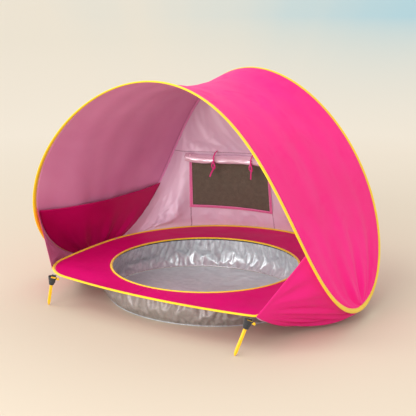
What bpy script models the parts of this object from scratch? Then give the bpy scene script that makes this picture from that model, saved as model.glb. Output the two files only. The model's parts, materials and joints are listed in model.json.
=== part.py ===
"""Pop-up baby beach tent with a paddling pool, modelled open. Metres, +Z up, mouth towards -Y.

The origin is the centre of the pool's underside, on the ground. Two spring-steel hoops hold the fabric: the
canopy hoop, a front and a rear arch that meet at two low feet, and the flat floor ring around the deck. The
front half of both hoops folds up about the fold line, which crosses the floor ring above the feet.
"""

import math

import bmesh
import bpy
from mathutils import Matrix, Vector

for leftover in list(bpy.data.objects):
    bpy.data.objects.remove(leftover)
tent = bpy.data.collections.new("pop_up_tent")
bpy.context.scene.collection.children.link(tent)

# Canopy hoop, measured to the middle of its wire.
HOOP_HALF_WIDTH = 0.552
HOOP_TOP = 0.731
FOOT_HEIGHT = 0.043
FOOT_Y = 0.063
FRONT_APEX_Y = -0.265
REAR_APEX_Y = 0.296
SHOULDER_BOW = 0.093  # how far the arches bow out at their shoulders
SHOULDER_FULLNESS = 0.06  # share of a third wave in the width, which squares the shoulders
FRONT_FULLNESS = 0.065  # share of a second wave in the width, which makes the front arch the wider one
CANOPY_SAG = 0.034  # of the ridge between the two arches
ARCH_STEPS = 36

# Floor ring, measured to the middle of its wire.
RING_HEIGHT = 0.109
RING_CORNER_X = 0.405
RING_CORNER_Y = -0.354
RIGHT_CORNER = (0.022, 1.0)  # how far from the corner its rounding starts, and how full it is
LEFT_CORNER = (0.115, 0.6)  # the left corner is pulled rounder
CORNER_MIDDLE = 9  # the place of the rounding's middle among a front quarter's points
RING_FRONT_BOW = 0.041
RING_HALF_WIDTH = 0.441
RING_WIDEST_Y = 0.022
RING_REAR_Y = 0.4985
FOLD_AXIS = Vector((0, FOOT_Y, RING_HEIGHT))  # the front halves of both hoops fold about this line, along X

# Spring-steel wire, its ferrules, and the fabric casings that hold it.
WIRE_RADIUS = 0.0015
FERRULE_LENGTH = 0.012
FERRULE_WALL = 0.0008
CASING_WIDTH = 0.015
CASING_THICKNESS = 0.006
RING_CASING_WIDTH = 0.010
CASING_WALL = 0.001
SPLICE_GAP = 0.0015  # between the wire ends at the fold line

# Fabric.
CLOTH = 0.0015
GAP = 0.0005  # between flat pieces that are sewn together
SEAM_GAP = 0.002  # between a fabric's edge and the curved casing or trim it is sewn to
LAYER_GAP = 0.002  # between a fabric and the piece that lies on it

# Pool.
POOL_RADIUS = 0.3115
POOL_TRIM_WIDTH = 0.008
POOL_TRIM_THICKNESS = 0.005
POOL_BASE_HALF_WIDTH = 0.338
POOL_BASE_HALF_DEPTH = 0.300
POOL_BULGE = 0.012  # of the wall, outwards at half its height
POOL_STEPS = 48

# Canopy, side walls and aprons.
CANOPY_END = 85.0  # degrees; the canopy's point, just short of the foot
POCKET_END = 82.0
POCKET_LIFT = 0.15  # of the pocket's offset inwards, for each unit sideways
POCKET_MARGIN = 0.06  # share of the canopy's width that the pocket leaves at each side
WALL_START = 54.0  # degrees along the front arch, where the side wall's front edge meets it
WALL_END = 88.0
WALL_REAR_SHARE = 0.97  # the wall's cloth stops this far along its hem, short of the foot
WALL_LOWEST_SHARE = 0.03  # and this far above the hem's line, clear of the ring's corner
HEM_LOW = Vector((0.452, -0.115, 0.022))  # the hem's lowest point
HEM_FRONT = Vector((0.007, -0.005, 0))  # from the middle of the ring's rounded corner to the hem's front end
HEM_DIP = Vector((-0.008, 0, 0.03))  # how far the hem falls away behind that corner
HEM_TURN = Vector((0.03, 0.05, -0.003))  # along the hem at its lowest point
HEM_LIFT = Vector((0.01, 0.05, 0.006))  # along the hem as it comes up to the foot
APRON_START = 0.14  # share of the hem's length, behind the ring's rounded corner
APRON_INSET = Vector((-0.004, 0, 0.002))  # of the apron's lower edge from the hem
APRON_REACH = 0.9  # share of the way from the ring to the hem that the apron's cloth goes
POCKET_TOP = 56.0  # degrees along the arches, where the pocket's straight hem runs
REAR_WALL_START = 93.0  # degrees, just behind the foot

# Window in the rear wall, left of the middle, with its cover rolled up and tied above it.
WINDOW_LEFT = -0.300
WINDOW_RIGHT = -0.016
WINDOW_BOTTOM = 0.188
WINDOW_TOP = 0.366
STRAIGHT_HALF_WIDTH = 0.345  # the wall's cloth hangs straight down out to here, and draws in beyond
BINDING_WIDTH = 0.010
BINDING_LAP = 0.002
ROLL_RADIUS = 0.017
ROLL_OVERHANG = 0.013
ROLL_RISE = 0.0135  # of the roll's axis above the window
TIE_PLACES = (0.34, 0.84)  # shares of the roll's length
TIE_RADIUS = 0.0018
TIE_DROP = 0.060
TIE_BEND = 0.8  # of the tie round the roll: the share of its radius at its eighth turns

# Stakes, each from its tip on the ground to its top, and the webbing loops that they stand in.
STAKES = {
    "left": (Vector((-0.361, -0.374, 0.0006)), Vector((-0.330, -0.384, 0.102))),
    "right": (Vector((0.368, -0.405, 0.0006)), Vector((0.395, -0.375, 0.102))),
}
STAKE_RADIUS = 0.005
STAKE_POINT = 0.025
HOOK_REACH = 0.020
LOOP_WALL = 0.0025
LOOP_HEIGHT = 0.026
LOOP_CLEARANCE = 0.0015
LOOP_DROP = 0.024  # of the loop's middle below the stake's top
STRAP_WIDTH = 0.018

COLOURS = {
    "pink": (0.86, 0.02, 0.22),
    "crimson": (0.32, 0.0, 0.04),
    "yellow": (0.95, 0.62, 0.02),
    "silver": (0.42, 0.40, 0.40),
    "pink_silver": (0.58, 0.33, 0.38),
    "mesh": (0.09, 0.07, 0.05),
    "binding": (0.75, 0.13, 0.32),
    "steel": (0.45, 0.45, 0.46),
    "webbing": (0.01, 0.01, 0.01),
}
METALLIC = {"steel": 1.0, "silver": 0.3, "pink_silver": 0.2}


def spaced(first, last, steps):
    """steps + 1 values from first to last."""
    return [first + (last - first) * i / steps for i in range(steps + 1)]


# ---------------------------------------------------------------- the two hoops


def hoop_width(angle):
    return math.sin(angle) + FRONT_FULLNESS * math.sin(2 * angle) + SHOULDER_FULLNESS * math.sin(3 * angle)


WIDEST = max(hoop_width(math.radians(degree)) for degree in range(91))


def hoop(degrees):
    """A point of the canopy hoop: 0 is the front apex, 90 the right foot, 180 the rear apex."""
    angle = math.radians(degrees)
    middle = (FRONT_APEX_Y + REAR_APEX_Y) / 2
    half_gap = (REAR_APEX_Y - FRONT_APEX_Y) / 2
    rise = math.cos(angle) ** 2
    return Vector((
        HOOP_HALF_WIDTH * hoop_width(angle) / WIDEST,
        FOOT_Y + (middle - FOOT_Y) * rise
        - (half_gap + SHOULDER_BOW) * math.cos(angle) + SHOULDER_BOW * math.cos(3 * angle),
        FOOT_HEIGHT + (HOOP_TOP - FOOT_HEIGHT) * rise,
    ))


def across(degrees):
    """The unit vector from the hoop into the canopy, square to the wire."""
    tangent = (hoop(degrees + 0.5) - hoop(degrees - 0.5)).normalized()
    near = 0.85 * degrees if abs(degrees) < 90 else math.copysign(180, degrees) * 0.15 + 0.85 * degrees
    opposite = math.copysign(180, near) - near if near else 180.0
    inwards = (hoop(near) + hoop(opposite)) / 2 - hoop(degrees)
    return (inwards - inwards.dot(tangent) * tangent).normalized()


def canopy_edge(degrees):
    """Where the canopy's cloth starts, just inside the casing."""
    return hoop(degrees) + across(degrees) * (CASING_WIDTH / 2 + SEAM_GAP)


def canopy(share, degrees):
    """A point of the canopy: share 0 at the front arch and 1 at the rear arch."""
    rear = math.copysign(180, degrees) - degrees if degrees else 180.0
    point = canopy_edge(degrees).lerp(canopy_edge(rear), share)
    sag = CANOPY_SAG * 4 * share * (1 - share) * math.cos(math.radians(degrees)) ** 2
    return point - Vector((0, 0, sag))


def bezier(a, b, c, d, share):
    return (1 - share) ** 3 * a + 3 * (1 - share) ** 2 * share * b + 3 * (1 - share) * share**2 * c + share**3 * d


def ring_front_y(x):
    return RING_CORNER_Y - RING_FRONT_BOW * (1 - (x / RING_CORNER_X) ** 2)


def ring_side(share):
    """The right side of the floor ring, from its front corner to its widest point."""
    corner = Vector((RING_CORNER_X, RING_CORNER_Y, RING_HEIGHT))
    widest = Vector((RING_HALF_WIDTH, RING_WIDEST_Y, RING_HEIGHT))
    step = widest - corner
    return bezier(corner, corner + Vector((0.6 * step.x, 0.4 * step.y, 0)),
                  widest - Vector((0, 0.35 * step.y, 0)), widest, share)


def ring_rear(angle):
    """The right rear of the floor ring, an ellipse: 0 at its widest point and 90 degrees at the rear."""
    return Vector((RING_HALF_WIDTH * math.cos(angle),
                   RING_WIDEST_Y + (RING_REAR_Y - RING_WIDEST_Y) * math.sin(angle), RING_HEIGHT))


def ring_angle_at(y):
    return math.asin((y - RING_WIDEST_Y) / (RING_REAR_Y - RING_WIDEST_Y))


def mirrored(points):
    return [Vector((-p.x, p.y, p.z)) for p in points]


def ring_front_half(back_to, cut_length, fullness):
    """The right front quarter of the ring, from the middle of its front to y = back_to."""
    start = RING_CORNER_X - cut_length
    front = [Vector((x, ring_front_y(x), RING_HEIGHT)) for x in spaced(0, start, 7)]
    cut = cut_length / (RING_WIDEST_Y - RING_CORNER_Y)
    corner = Vector((RING_CORNER_X, RING_CORNER_Y, RING_HEIGHT))
    first, last = front[-1], ring_side(cut)
    rounding = [bezier(first, first.lerp(corner, fullness), last.lerp(corner, fullness), last, share)
                for share in (0.25, 0.5, 0.75)]
    side = [ring_side(share) for share in spaced(cut, 1, 6)]
    return front + rounding + side + [ring_rear(ring_angle_at(back_to))]


def ring_front_points(back_to):
    """The front half of the ring, from the left to the right, with its ends at y = back_to."""
    left = mirrored(ring_front_half(back_to, *LEFT_CORNER))
    return left[::-1][:-1] + ring_front_half(back_to, *RIGHT_CORNER)


def ring_front_at(x):
    """The ring's front at one x, with its corners rounded."""
    points = ring_front_points(FOOT_Y)
    front = [(a, b) for a, b in zip(points, points[1:]) if a.x <= x <= b.x]
    a, b = min(front, key=lambda pair: pair[0].y)
    return a.lerp(b, (x - a.x) / (b.x - a.x))


def part_way(points, share):
    """A point on the straight lines between points, 0 at the first and 1 at the last, by length."""
    left = share * sum((b - a).length for a, b in zip(points, points[1:]))
    for a, b in zip(points, points[1:]):
        if left <= (b - a).length:
            return a.lerp(b, left / (b - a).length)
        left -= (b - a).length
    return points[-1]


def ring_rear_points(from_y):
    """The rear half of the ring, from the right to the left, starting at y = from_y."""
    first = ring_angle_at(from_y)
    stops = [angle for angle in spaced(0, math.pi / 2, 22) if angle > ring_angle_at(FOOT_Y + 0.03)]
    half = [ring_rear(angle) for angle in [first] + stops]
    return half + mirrored(half[::-1])[1:]


# ---------------------------------------------------------------- making pieces


def material(name):
    found = bpy.data.materials.get(name) or bpy.data.materials.new(name)
    found.use_nodes = True
    shader = found.node_tree.nodes["Principled BSDF"]
    shader.inputs["Base Color"].default_value = (*COLOURS[name], 1)
    shader.inputs["Metallic"].default_value = METALLIC.get(name, 0.0)
    shader.inputs["Roughness"].default_value = 0.35 if name in METALLIC else 0.6
    return found


def axis_empty(name, at, parent=None):
    """An empty at a joint, for the pieces that move with it; one with a parent is placed from the fold axis."""
    empty = bpy.data.objects.new(name, None)
    empty.location = at - FOLD_AXIS if parent else at
    empty.parent = parent
    tent.objects.link(empty)
    return empty


def hang(piece, empty, at):
    """Parents a piece to the empty that stands at a point, with the piece's own points where they were."""
    piece.parent = empty
    piece.location = -at


def place(name, mesh, colour):
    """Links a mesh object to the tent's collection."""
    mesh.materials.clear()
    mesh.materials.append(material(colour))
    piece = bpy.data.objects.new(name, mesh)
    tent.objects.link(piece)
    return piece


def cloth(name, colour, columns, rows, point, thickness=CLOTH, closed=False, hole=None, offset=0.0):
    """A sheet whose corner (column, row) lies at point(column, row), given its thickness by Solidify.

    closed joins the last column to the first. hole(column, row) leaves out the cell that starts there.
    """
    shape = bmesh.new()
    grid = [[shape.verts.new(point(column, row)) for row in rows] for column in columns]
    for i in range(len(columns) if closed else len(columns) - 1):
        for j in range(len(rows) - 1):
            if hole and hole(columns[i], rows[j]):
                continue
            after = grid[(i + 1) % len(columns)]
            shape.faces.new((grid[i][j], after[j], after[j + 1], grid[i][j + 1]))
    mesh = bpy.data.meshes.new(name)
    shape.to_mesh(mesh)
    shape.free()
    piece = place(name, mesh, colour)
    wall = piece.modifiers.new("thickness", "SOLIDIFY")
    wall.thickness = thickness
    wall.offset = offset
    return piece


def rod(name, colour, points, radius, radii=None, resolution=1):
    """A round bar or wire through points, with closed ends."""
    curve = bpy.data.curves.new(name, "CURVE")
    curve.dimensions = "3D"
    curve.bevel_depth = radius
    curve.bevel_resolution = resolution
    curve.use_fill_caps = True
    curve.materials.append(material(colour))
    spline = curve.splines.new("POLY")
    spline.points.add(len(points) - 1)
    for i, point in enumerate(points):
        spline.points[i].co = (*point, 1)
        spline.points[i].radius = radii[i] if radii else 1.0
    piece = bpy.data.objects.new(name, curve)
    tent.objects.link(piece)
    return piece


def sleeve(name, colour, points, sides, width, thickness, wall):
    """A flattened tube around points, open at its ends. sides holds the direction of its width at each point."""
    section = [(0.5, 0), (0.25, 0.5), (-0.25, 0.5), (-0.5, 0), (-0.25, -0.5), (0.25, -0.5)]

    def on_sleeve(corner, i):
        ahead = (points[min(i + 1, len(points) - 1)] - points[max(i - 1, 0)]).normalized()
        side = (sides[i] - sides[i].dot(ahead) * ahead).normalized()
        return points[i] + side * section[corner][0] * width + ahead.cross(side) * section[corner][1] * thickness

    return cloth(name, colour, range(6), range(len(points)), on_sleeve, wall, closed=True, offset=-1.0)


# ---------------------------------------------------------------- frame


def hoop_span(first, last):
    """Points of the hoop from one angle to another, with the same stops between them whatever the ends are."""
    step = 180 / ARCH_STEPS
    stops = [step * i for i in range(math.floor(first / step) + 1, math.ceil(last / step))]
    angles = [first] + [stop for stop in stops if first + 1 < stop < last - 1] + [last]
    return [hoop(angle) for angle in angles], [across(angle) for angle in angles]


def degrees_for(length):
    """The angle that a short length takes on the hoop at its foot."""
    return length / (hoop(90.5) - hoop(89.5)).length


def make_arches():
    split = degrees_for(SPLICE_GAP / 2)
    clear = degrees_for(SPLICE_GAP + FERRULE_LENGTH + SPLICE_GAP)
    points, _ = hoop_span(split - 90, 90 - split)
    wire = rod("front_arch_wire", "steel", points, WIRE_RADIUS)
    points, sides = hoop_span(2 * split - 90, 90 - 2 * split)
    casing = sleeve("front_arch_casing", "yellow", points, sides, CASING_WIDTH, CASING_THICKNESS, CASING_WALL)
    for piece in (wire, casing):
        hang(piece, front_frame, FOLD_AXIS)
    points, _ = hoop_span(90 + split, 270 - split)
    rod("rear_arch_wire", "steel", points, WIRE_RADIUS)
    ferrule("hoop_ferrule_right", points[0], points[1])
    ferrule("hoop_ferrule_left", points[-1], points[-2])
    points, sides = hoop_span(90 + clear, 270 - clear)
    sleeve("rear_arch_casing", "yellow", points, sides, CASING_WIDTH, CASING_THICKNESS, CASING_WALL)


def ferrule(name, end, towards):
    """The crimped tube on a wire's end, along the wire's first straight stretch."""
    ahead = (towards - end).normalized()
    side = ahead.orthogonal().normalized()
    bore = WIRE_RADIUS + GAP
    radius = (bore + FERRULE_WALL) / math.cos(math.pi / 6)

    def on_ferrule(corner, along):
        angle = math.pi / 3 * corner
        return end + ahead * along + (side * math.cos(angle) + ahead.cross(side) * math.sin(angle)) * radius

    cloth(name, "steel", range(6), (GAP, FERRULE_LENGTH), on_ferrule, FERRULE_WALL, closed=True, offset=-1.0)


def ring_sides(points):
    """Level directions square to the ring."""
    sides = []
    for i in range(len(points)):
        ahead = points[min(i + 1, len(points) - 1)] - points[max(i - 1, 0)]
        sides.append(Vector((-ahead.y, ahead.x, 0)).normalized())
    return sides


def make_ring():
    front = ring_front_points(FOOT_Y - SPLICE_GAP / 2)
    wire = rod("floor_ring_front_wire", "steel", front, WIRE_RADIUS)
    front = ring_front_points(FOOT_Y - SPLICE_GAP)
    casing = sleeve("floor_ring_front_casing", "yellow", front, ring_sides(front),
                    RING_CASING_WIDTH, CASING_THICKNESS, CASING_WALL)
    for piece in (wire, casing):
        hang(piece, front_frame, FOLD_AXIS)
    wire = ring_rear_points(FOOT_Y + SPLICE_GAP / 2)
    rod("floor_ring_rear_wire", "steel", wire, WIRE_RADIUS)
    rear = ring_rear_points(FOOT_Y + 2 * SPLICE_GAP + FERRULE_LENGTH)
    sleeve("floor_ring_rear_casing", "yellow", rear, ring_sides(rear),
           RING_CASING_WIDTH, CASING_THICKNESS, CASING_WALL)
    for name, (end, towards) in {"right": wire[:2], "left": wire[:-3:-1]}.items():
        ferrule("ring_ferrule_" + name, end, towards)


# ---------------------------------------------------------------- canopy and walls


def make_canopy():
    cloth("canopy", "pink", spaced(-CANOPY_END, CANOPY_END, 34), spaced(0, 1, 6),
          lambda degrees, share: canopy(share, degrees))
    for name, sign in (("left", -1), ("right", 1)):

        def on_pocket(degrees, share):
            at = canopy(share, sign * degrees)
            return at + Vector((-sign, 0, POCKET_LIFT)).normalized() * (CLOTH + LAYER_GAP)

        cloth("pocket_" + name, "crimson", spaced(POCKET_TOP, POCKET_END, 6),
              spaced(POCKET_MARGIN, 1 - POCKET_MARGIN, 5), on_pocket)


def wall_top(degrees):
    """The side wall's top edge, against the side of the front arch's casing that faces into the tent."""
    flat = (hoop(degrees + 0.5) - hoop(degrees - 0.5)).cross(across(degrees)).normalized()
    return hoop(degrees) - flat * math.copysign(CASING_THICKNESS / 2 + CLOTH / 2 + SEAM_GAP, flat.x)


def hem(share, corner):
    """The side wall's lower edge, from the ring's front corner down to the ground and up to the foot."""
    foot = hoop(90) - Vector((0, 0, CASING_WIDTH / 2 + SEAM_GAP))
    if share < 0.5:
        return bezier(corner, corner.lerp(HEM_LOW, 1 / 3) - HEM_DIP, HEM_LOW - HEM_TURN, HEM_LOW, share * 2)
    return bezier(HEM_LOW, HEM_LOW + HEM_TURN, foot - HEM_LIFT, foot, share * 2 - 1)


def make_side_walls():
    for name, sign, rounding in (("left", -1, LEFT_CORNER), ("right", 1, RIGHT_CORNER)):
        flip = Vector((sign, 1, 1))
        run = ring_front_half(FOOT_Y, *rounding)[CORNER_MIDDLE:]
        corner = run[0] + HEM_FRONT

        def on_wall(share, height):
            top = wall_top(WALL_START + (WALL_END - WALL_START) * share)
            return hem(share, corner).lerp(top, height) * flip

        cloth("side_wall_" + name, "pink", spaced(0, WALL_REAR_SHARE, 14), spaced(WALL_LOWEST_SHARE, 1, 4), on_wall)

        def on_apron(share, out):
            """Between the floor ring and the hem."""
            ahead = part_way(run, min(share + 0.02, 1)) - part_way(run, share - 0.02)
            outwards = Vector((ahead.y, -ahead.x, 0)).normalized()
            ring = part_way(run, share) + outwards * (RING_CASING_WIDTH / 2 + SEAM_GAP)
            return ring.lerp(hem(share, corner) + APRON_INSET, out) * flip

        cloth("side_apron_" + name, "pink_silver", spaced(APRON_START, 1, 12), spaced(0, APRON_REACH, 2), on_apron)


def wall_foot(x):
    """The rear wall's lower edge, just outside the floor ring, below the hoop's point at x."""
    start = STRAIGHT_HALF_WIDTH
    last_x = ring_rear(ring_angle_at(FOOT_Y + 2 * SPLICE_GAP + FERRULE_LENGTH)).x
    reach = (abs(x) - start) / (hoop(REAR_WALL_START).x - start)
    drawn = abs(x) if reach < 0 else start + (last_x - start) * reach
    ring = ring_rear(math.acos(min(1.0, drawn / RING_HALF_WIDTH)))
    outwards = Vector((ring.x / RING_HALF_WIDTH**2, (ring.y - RING_WIDEST_Y) / (RING_REAR_Y - RING_WIDEST_Y) ** 2, 0))
    edge = ring + outwards.normalized() * (RING_CASING_WIDTH / 2 + SEAM_GAP)
    return Vector((math.copysign(edge.x, x), edge.y, edge.z))


def wall_line(degrees):
    """The rear wall's lower and upper ends below one point of the rear arch."""
    arch = hoop(degrees)
    foot = wall_foot(arch.x)
    return foot, arch + (foot - arch).normalized() * (CASING_WIDTH / 2 + SEAM_GAP)


def rear_wall(degrees, level):
    """A point of the rear wall. Level 1 is the window's top, wherever the wall is tall enough, and 2 the arch."""
    foot, head = wall_line(degrees)
    total = head.z - foot.z
    window_zone = min(WINDOW_TOP - foot.z, 0.65 * total)
    height = level * window_zone if level <= 1 else window_zone + (level - 1) * (total - window_zone)
    return foot.lerp(head, height / total)


def arch_degrees(x):
    """The angle on the rear arch at a given x."""
    low, high = 120.0, 240.0
    for _ in range(40):
        middle = (low + high) / 2
        if hoop(middle).x > x:
            low = middle
        else:
            high = middle
    return low


def wall_at(x, z, inset=0.0):
    """A point of the straight part of the rear wall, moved towards the inside of the tent."""
    foot, head = wall_line(arch_degrees(x))
    point = foot.lerp(head, (z - foot.z) / (head.z - foot.z))
    beside_foot, beside_head = wall_line(arch_degrees(x + 0.01))
    along = beside_foot.lerp(beside_head, (z - foot.z) / (head.z - foot.z)) - point
    return point + (head - foot).cross(along).normalized() * -inset


def make_rear_wall():
    right, left = arch_degrees(WINDOW_RIGHT), arch_degrees(WINDOW_LEFT)
    last = 360 - REAR_WALL_START
    columns = spaced(REAR_WALL_START, right, 26)[:-1] + spaced(right, left, 8)[:-1] + spaced(left, last, 18)
    sill = (WINDOW_BOTTOM - wall_foot(0).z) / (WINDOW_TOP - wall_foot(0).z)
    rows = [0, sill / 2] + spaced(sill, 1, 3) + [1.5, 2]
    cloth("rear_wall", "pink_silver", columns, rows, rear_wall,
          hole=lambda degrees, level: right <= degrees < left and sill <= level < 0.999)
    xs = spaced(WINDOW_LEFT + GAP, WINDOW_RIGHT - GAP, 7)
    cloth("window_mesh", "mesh", xs, spaced(WINDOW_BOTTOM + GAP, WINDOW_TOP - GAP, 3), wall_at)

    lap, reach = BINDING_LAP, BINDING_WIDTH - BINDING_LAP
    sides = spaced(-1, 1, 3)
    corners = ([(share, -1) for share in spaced(0, 1, 7)] + [(1, up) for up in sides[1:-1]]
               + [(share, 1) for share in spaced(1, 0, 7)] + [(0, up) for up in sides[-2:0:-1]])

    def on_binding(i, row):
        share, up = corners[i]
        grow = -lap if row == 0 else reach
        x = WINDOW_LEFT - grow + (WINDOW_RIGHT - WINDOW_LEFT + 2 * grow) * share
        middle, half = (WINDOW_BOTTOM + WINDOW_TOP) / 2, (WINDOW_TOP - WINDOW_BOTTOM) / 2
        return wall_at(x, middle + up * (half + grow), CLOTH + LAYER_GAP)

    cloth("window_binding", "binding", range(len(corners)), (0, 1), on_binding, closed=True)


def make_window_cover():
    first, last = WINDOW_LEFT - ROLL_OVERHANG, WINDOW_RIGHT + ROLL_OVERHANG
    z = WINDOW_TOP + BINDING_WIDTH + ROLL_RISE
    clear = CLOTH + LAYER_GAP + ROLL_RADIUS
    rod("window_cover_roll", "pink_silver", [wall_at(x, z, clear) for x in spaced(first, last, 6)],
        ROLL_RADIUS, resolution=2)
    out = clear + ROLL_RADIUS + TIE_RADIUS + LAYER_GAP
    over = ROLL_RADIUS + TIE_RADIUS + LAYER_GAP
    for name, share in zip(("left", "right"), TIE_PLACES):
        x = first + (last - first) * share
        round_roll = over * TIE_BEND
        route = [(over * 1.3, CLOTH + LAYER_GAP), (over, clear), (round_roll, clear + round_roll), (0, out),
                 (-round_roll, clear + round_roll), (-over * 1.2, clear), (-over - TIE_DROP, clear * 0.8)]
        rod("window_tie_" + name, "binding", [wall_at(x, z + up, inset) for up, inset in route], TIE_RADIUS)


# ---------------------------------------------------------------- deck and pool


def make_deck():
    outline = ring_front_points(FOOT_Y) + ring_rear_points(FOOT_Y)[1:-1]
    count = len(outline)
    hole = POOL_RADIUS + POOL_TRIM_WIDTH / 2 + SEAM_GAP

    def on_deck(i, share):
        ahead = outline[(i + 1) % count] - outline[i - 1]
        inwards = Vector((-ahead.y, ahead.x, 0)).normalized()
        edge = outline[i] + inwards * (RING_CASING_WIDTH / 2 + SEAM_GAP)
        around = Vector((edge.x, edge.y, 0)).normalized()
        return edge.lerp(around * hole + Vector((0, 0, RING_HEIGHT)), share)

    cloth("deck", "pink", range(count), (0, 1), on_deck, closed=True)


def make_pool():
    bpy.ops.mesh.primitive_torus_add(major_radius=POOL_RADIUS, minor_radius=POOL_TRIM_WIDTH / 2,
                                     major_segments=POOL_STEPS, minor_segments=8)
    made = bpy.context.object
    made.data.transform(Matrix.Diagonal((1, 1, POOL_TRIM_THICKNESS / POOL_TRIM_WIDTH, 1)))
    made.data.transform(Matrix.Translation((0, 0, RING_HEIGHT)))
    place("pool_trim", made.data, "yellow")
    bpy.data.objects.remove(made)

    top = RING_HEIGHT - POOL_TRIM_THICKNESS / 2 - LAYER_GAP
    bottom = CLOTH + GAP

    def on_wall(i, height):
        angle = 2 * math.pi * i / POOL_STEPS
        bulge = POOL_BULGE * math.sin(math.pi * height)
        across_x = POOL_BASE_HALF_WIDTH + (POOL_RADIUS - POOL_BASE_HALF_WIDTH) * height + bulge
        across_y = POOL_BASE_HALF_DEPTH + (POOL_RADIUS - POOL_BASE_HALF_DEPTH) * height + bulge
        return Vector((across_x * math.cos(angle), across_y * math.sin(angle), bottom + (top - bottom) * height))

    cloth("pool_wall", "silver", range(POOL_STEPS), spaced(0, 1, 4), on_wall, closed=True)

    bpy.ops.mesh.primitive_cylinder_add(radius=1, depth=CLOTH, vertices=POOL_STEPS, location=(0, 0, 0))
    made = bpy.context.object
    made.data.transform(Matrix.Diagonal((POOL_BASE_HALF_WIDTH + CLOTH, POOL_BASE_HALF_DEPTH + CLOTH, 1, 1)))
    made.data.transform(Matrix.Translation((0, 0, CLOTH / 2)))
    place("pool_floor", made.data, "silver")
    bpy.data.objects.remove(made)


# ---------------------------------------------------------------- stakes


def make_stakes():
    for name, (tip, top) in STAKES.items():
        up = (top - tip).normalized()
        hook = (Vector((0.8, 0.55, 0)) - up * up.dot(Vector((0.8, 0.55, 0)))).normalized()
        points = [tip, tip + up * STAKE_POINT, top - up * STAKE_RADIUS, top + hook * STAKE_RADIUS,
                  top + hook * HOOK_REACH]
        peg = rod("stake_" + name, "yellow", points, STAKE_RADIUS, radii=[0.2, 1, 1, 1, 0.9], resolution=2)
        hang(peg, axis_empty("stake_" + name + "_axis", tip, front_frame), tip)
        middle = top - up * LOOP_DROP
        ends = [middle + up * LOOP_HEIGHT * share for share in (-0.5, 0, 0.5)]
        across_loop = 2 * (STAKE_RADIUS + LOOP_CLEARANCE + LOOP_WALL)
        loop = sleeve("webbing_loop_" + name, "webbing", ends, [hook] * 3, across_loop * 1.25, across_loop, LOOP_WALL)

        ring = ring_front_at(middle.x)
        start = ring - Vector((0, RING_CASING_WIDTH / 4, CASING_THICKNESS / 2 + LOOP_WALL / 2 + GAP))
        clear = Vector((0, across_loop * 1.25 / 2 + LOOP_WALL / 2 + GAP, 0))

        def on_strap(sideways, row):
            """From under the ring's casing down the back of the loop."""
            route = [start, ends[2] + clear, ends[0] + clear]
            return route[row] + Vector((sideways * STRAP_WIDTH, 0, 0))

        strap = cloth("webbing_strap_" + name, "webbing", (-0.5, 0.5), range(3), on_strap, LOOP_WALL)
        for piece in (loop, strap):
            hang(piece, front_frame, FOLD_AXIS)


front_frame = axis_empty("front_frame", FOLD_AXIS)
make_arches()
make_ring()
make_canopy()
make_side_walls()
make_rear_wall()
make_window_cover()
make_deck()
make_pool()
make_stakes()
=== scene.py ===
"""A pop-up baby beach tent with a paddling pool, standing open.

The sections follow the order in which the tent is made up: the canopy's spring-steel hoop in its binding, the
canopy and its pockets, the side and rear walls with the window, the deck, its pool, and the ground pegs.
"""

import json
import math

import bmesh
import bpy
import numpy as np
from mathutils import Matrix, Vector, noise


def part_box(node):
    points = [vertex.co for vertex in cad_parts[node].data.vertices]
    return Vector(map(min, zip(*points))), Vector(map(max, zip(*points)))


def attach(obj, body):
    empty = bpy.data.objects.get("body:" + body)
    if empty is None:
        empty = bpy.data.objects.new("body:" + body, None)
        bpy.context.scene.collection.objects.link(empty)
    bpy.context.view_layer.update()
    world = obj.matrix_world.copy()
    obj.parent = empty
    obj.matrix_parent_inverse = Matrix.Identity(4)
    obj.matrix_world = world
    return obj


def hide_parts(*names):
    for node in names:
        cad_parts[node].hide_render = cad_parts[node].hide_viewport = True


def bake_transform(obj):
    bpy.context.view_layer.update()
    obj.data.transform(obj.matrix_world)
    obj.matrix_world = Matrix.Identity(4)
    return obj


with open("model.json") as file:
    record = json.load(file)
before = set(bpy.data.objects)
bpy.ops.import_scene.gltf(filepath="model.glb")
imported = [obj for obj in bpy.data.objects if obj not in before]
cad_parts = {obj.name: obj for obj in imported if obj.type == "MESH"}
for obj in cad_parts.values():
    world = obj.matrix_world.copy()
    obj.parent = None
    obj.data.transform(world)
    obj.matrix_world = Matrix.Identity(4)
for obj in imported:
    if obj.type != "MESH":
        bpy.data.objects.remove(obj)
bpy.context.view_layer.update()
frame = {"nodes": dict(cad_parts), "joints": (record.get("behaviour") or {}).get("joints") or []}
scene = bpy.context.scene

# ---------------------------------------------------------------- studio
# A pale sand-coloured floor that runs out of sight, a soft sun high on the left, a lamp in front, even sky.
# The camera stands to the right of the mouth, a little above the tent.

camera = bpy.data.objects.new("camera", bpy.data.cameras.new("camera"))
camera.data.lens = 82.1
camera.location = (1.6825, -2.5125, 1.0198)
looking_at = Vector((-0.0306, 0.0601, 0.2797))
camera.rotation_euler = (looking_at - camera.location).to_track_quat("-Z", "Y").to_euler()
scene.collection.objects.link(camera)
scene.camera = camera
scene.view_settings.view_transform = "Standard"

sun = bpy.data.objects.new("sun", bpy.data.lights.new("sun", "SUN"))
sun.data.energy = 0.7
sun.data.angle = math.radians(28)
sun.data.color = (1.0, 0.97, 0.93)
sun.rotation_euler = Vector((0.52, 0.50, -0.85)).to_track_quat("-Z", "Y").to_euler()
scene.collection.objects.link(sun)

softbox = bpy.data.objects.new("softbox", bpy.data.lights.new("softbox", "AREA"))
softbox.data.energy = 102
softbox.data.size = 2.6
softbox.location = (0.1, -3.9, 1.5)
softbox.rotation_euler = (Vector((0, 0, 0.25)) - softbox.location).to_track_quat("-Z", "Y").to_euler()
scene.collection.objects.link(softbox)

scene.world = bpy.data.worlds.new("sky")
scene.world.use_nodes = True
sky = scene.world.node_tree.nodes["Background"]
sky.inputs["Color"].default_value = (1.0, 0.985, 0.965, 1)
sky.inputs["Strength"].default_value = 1.0


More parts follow.
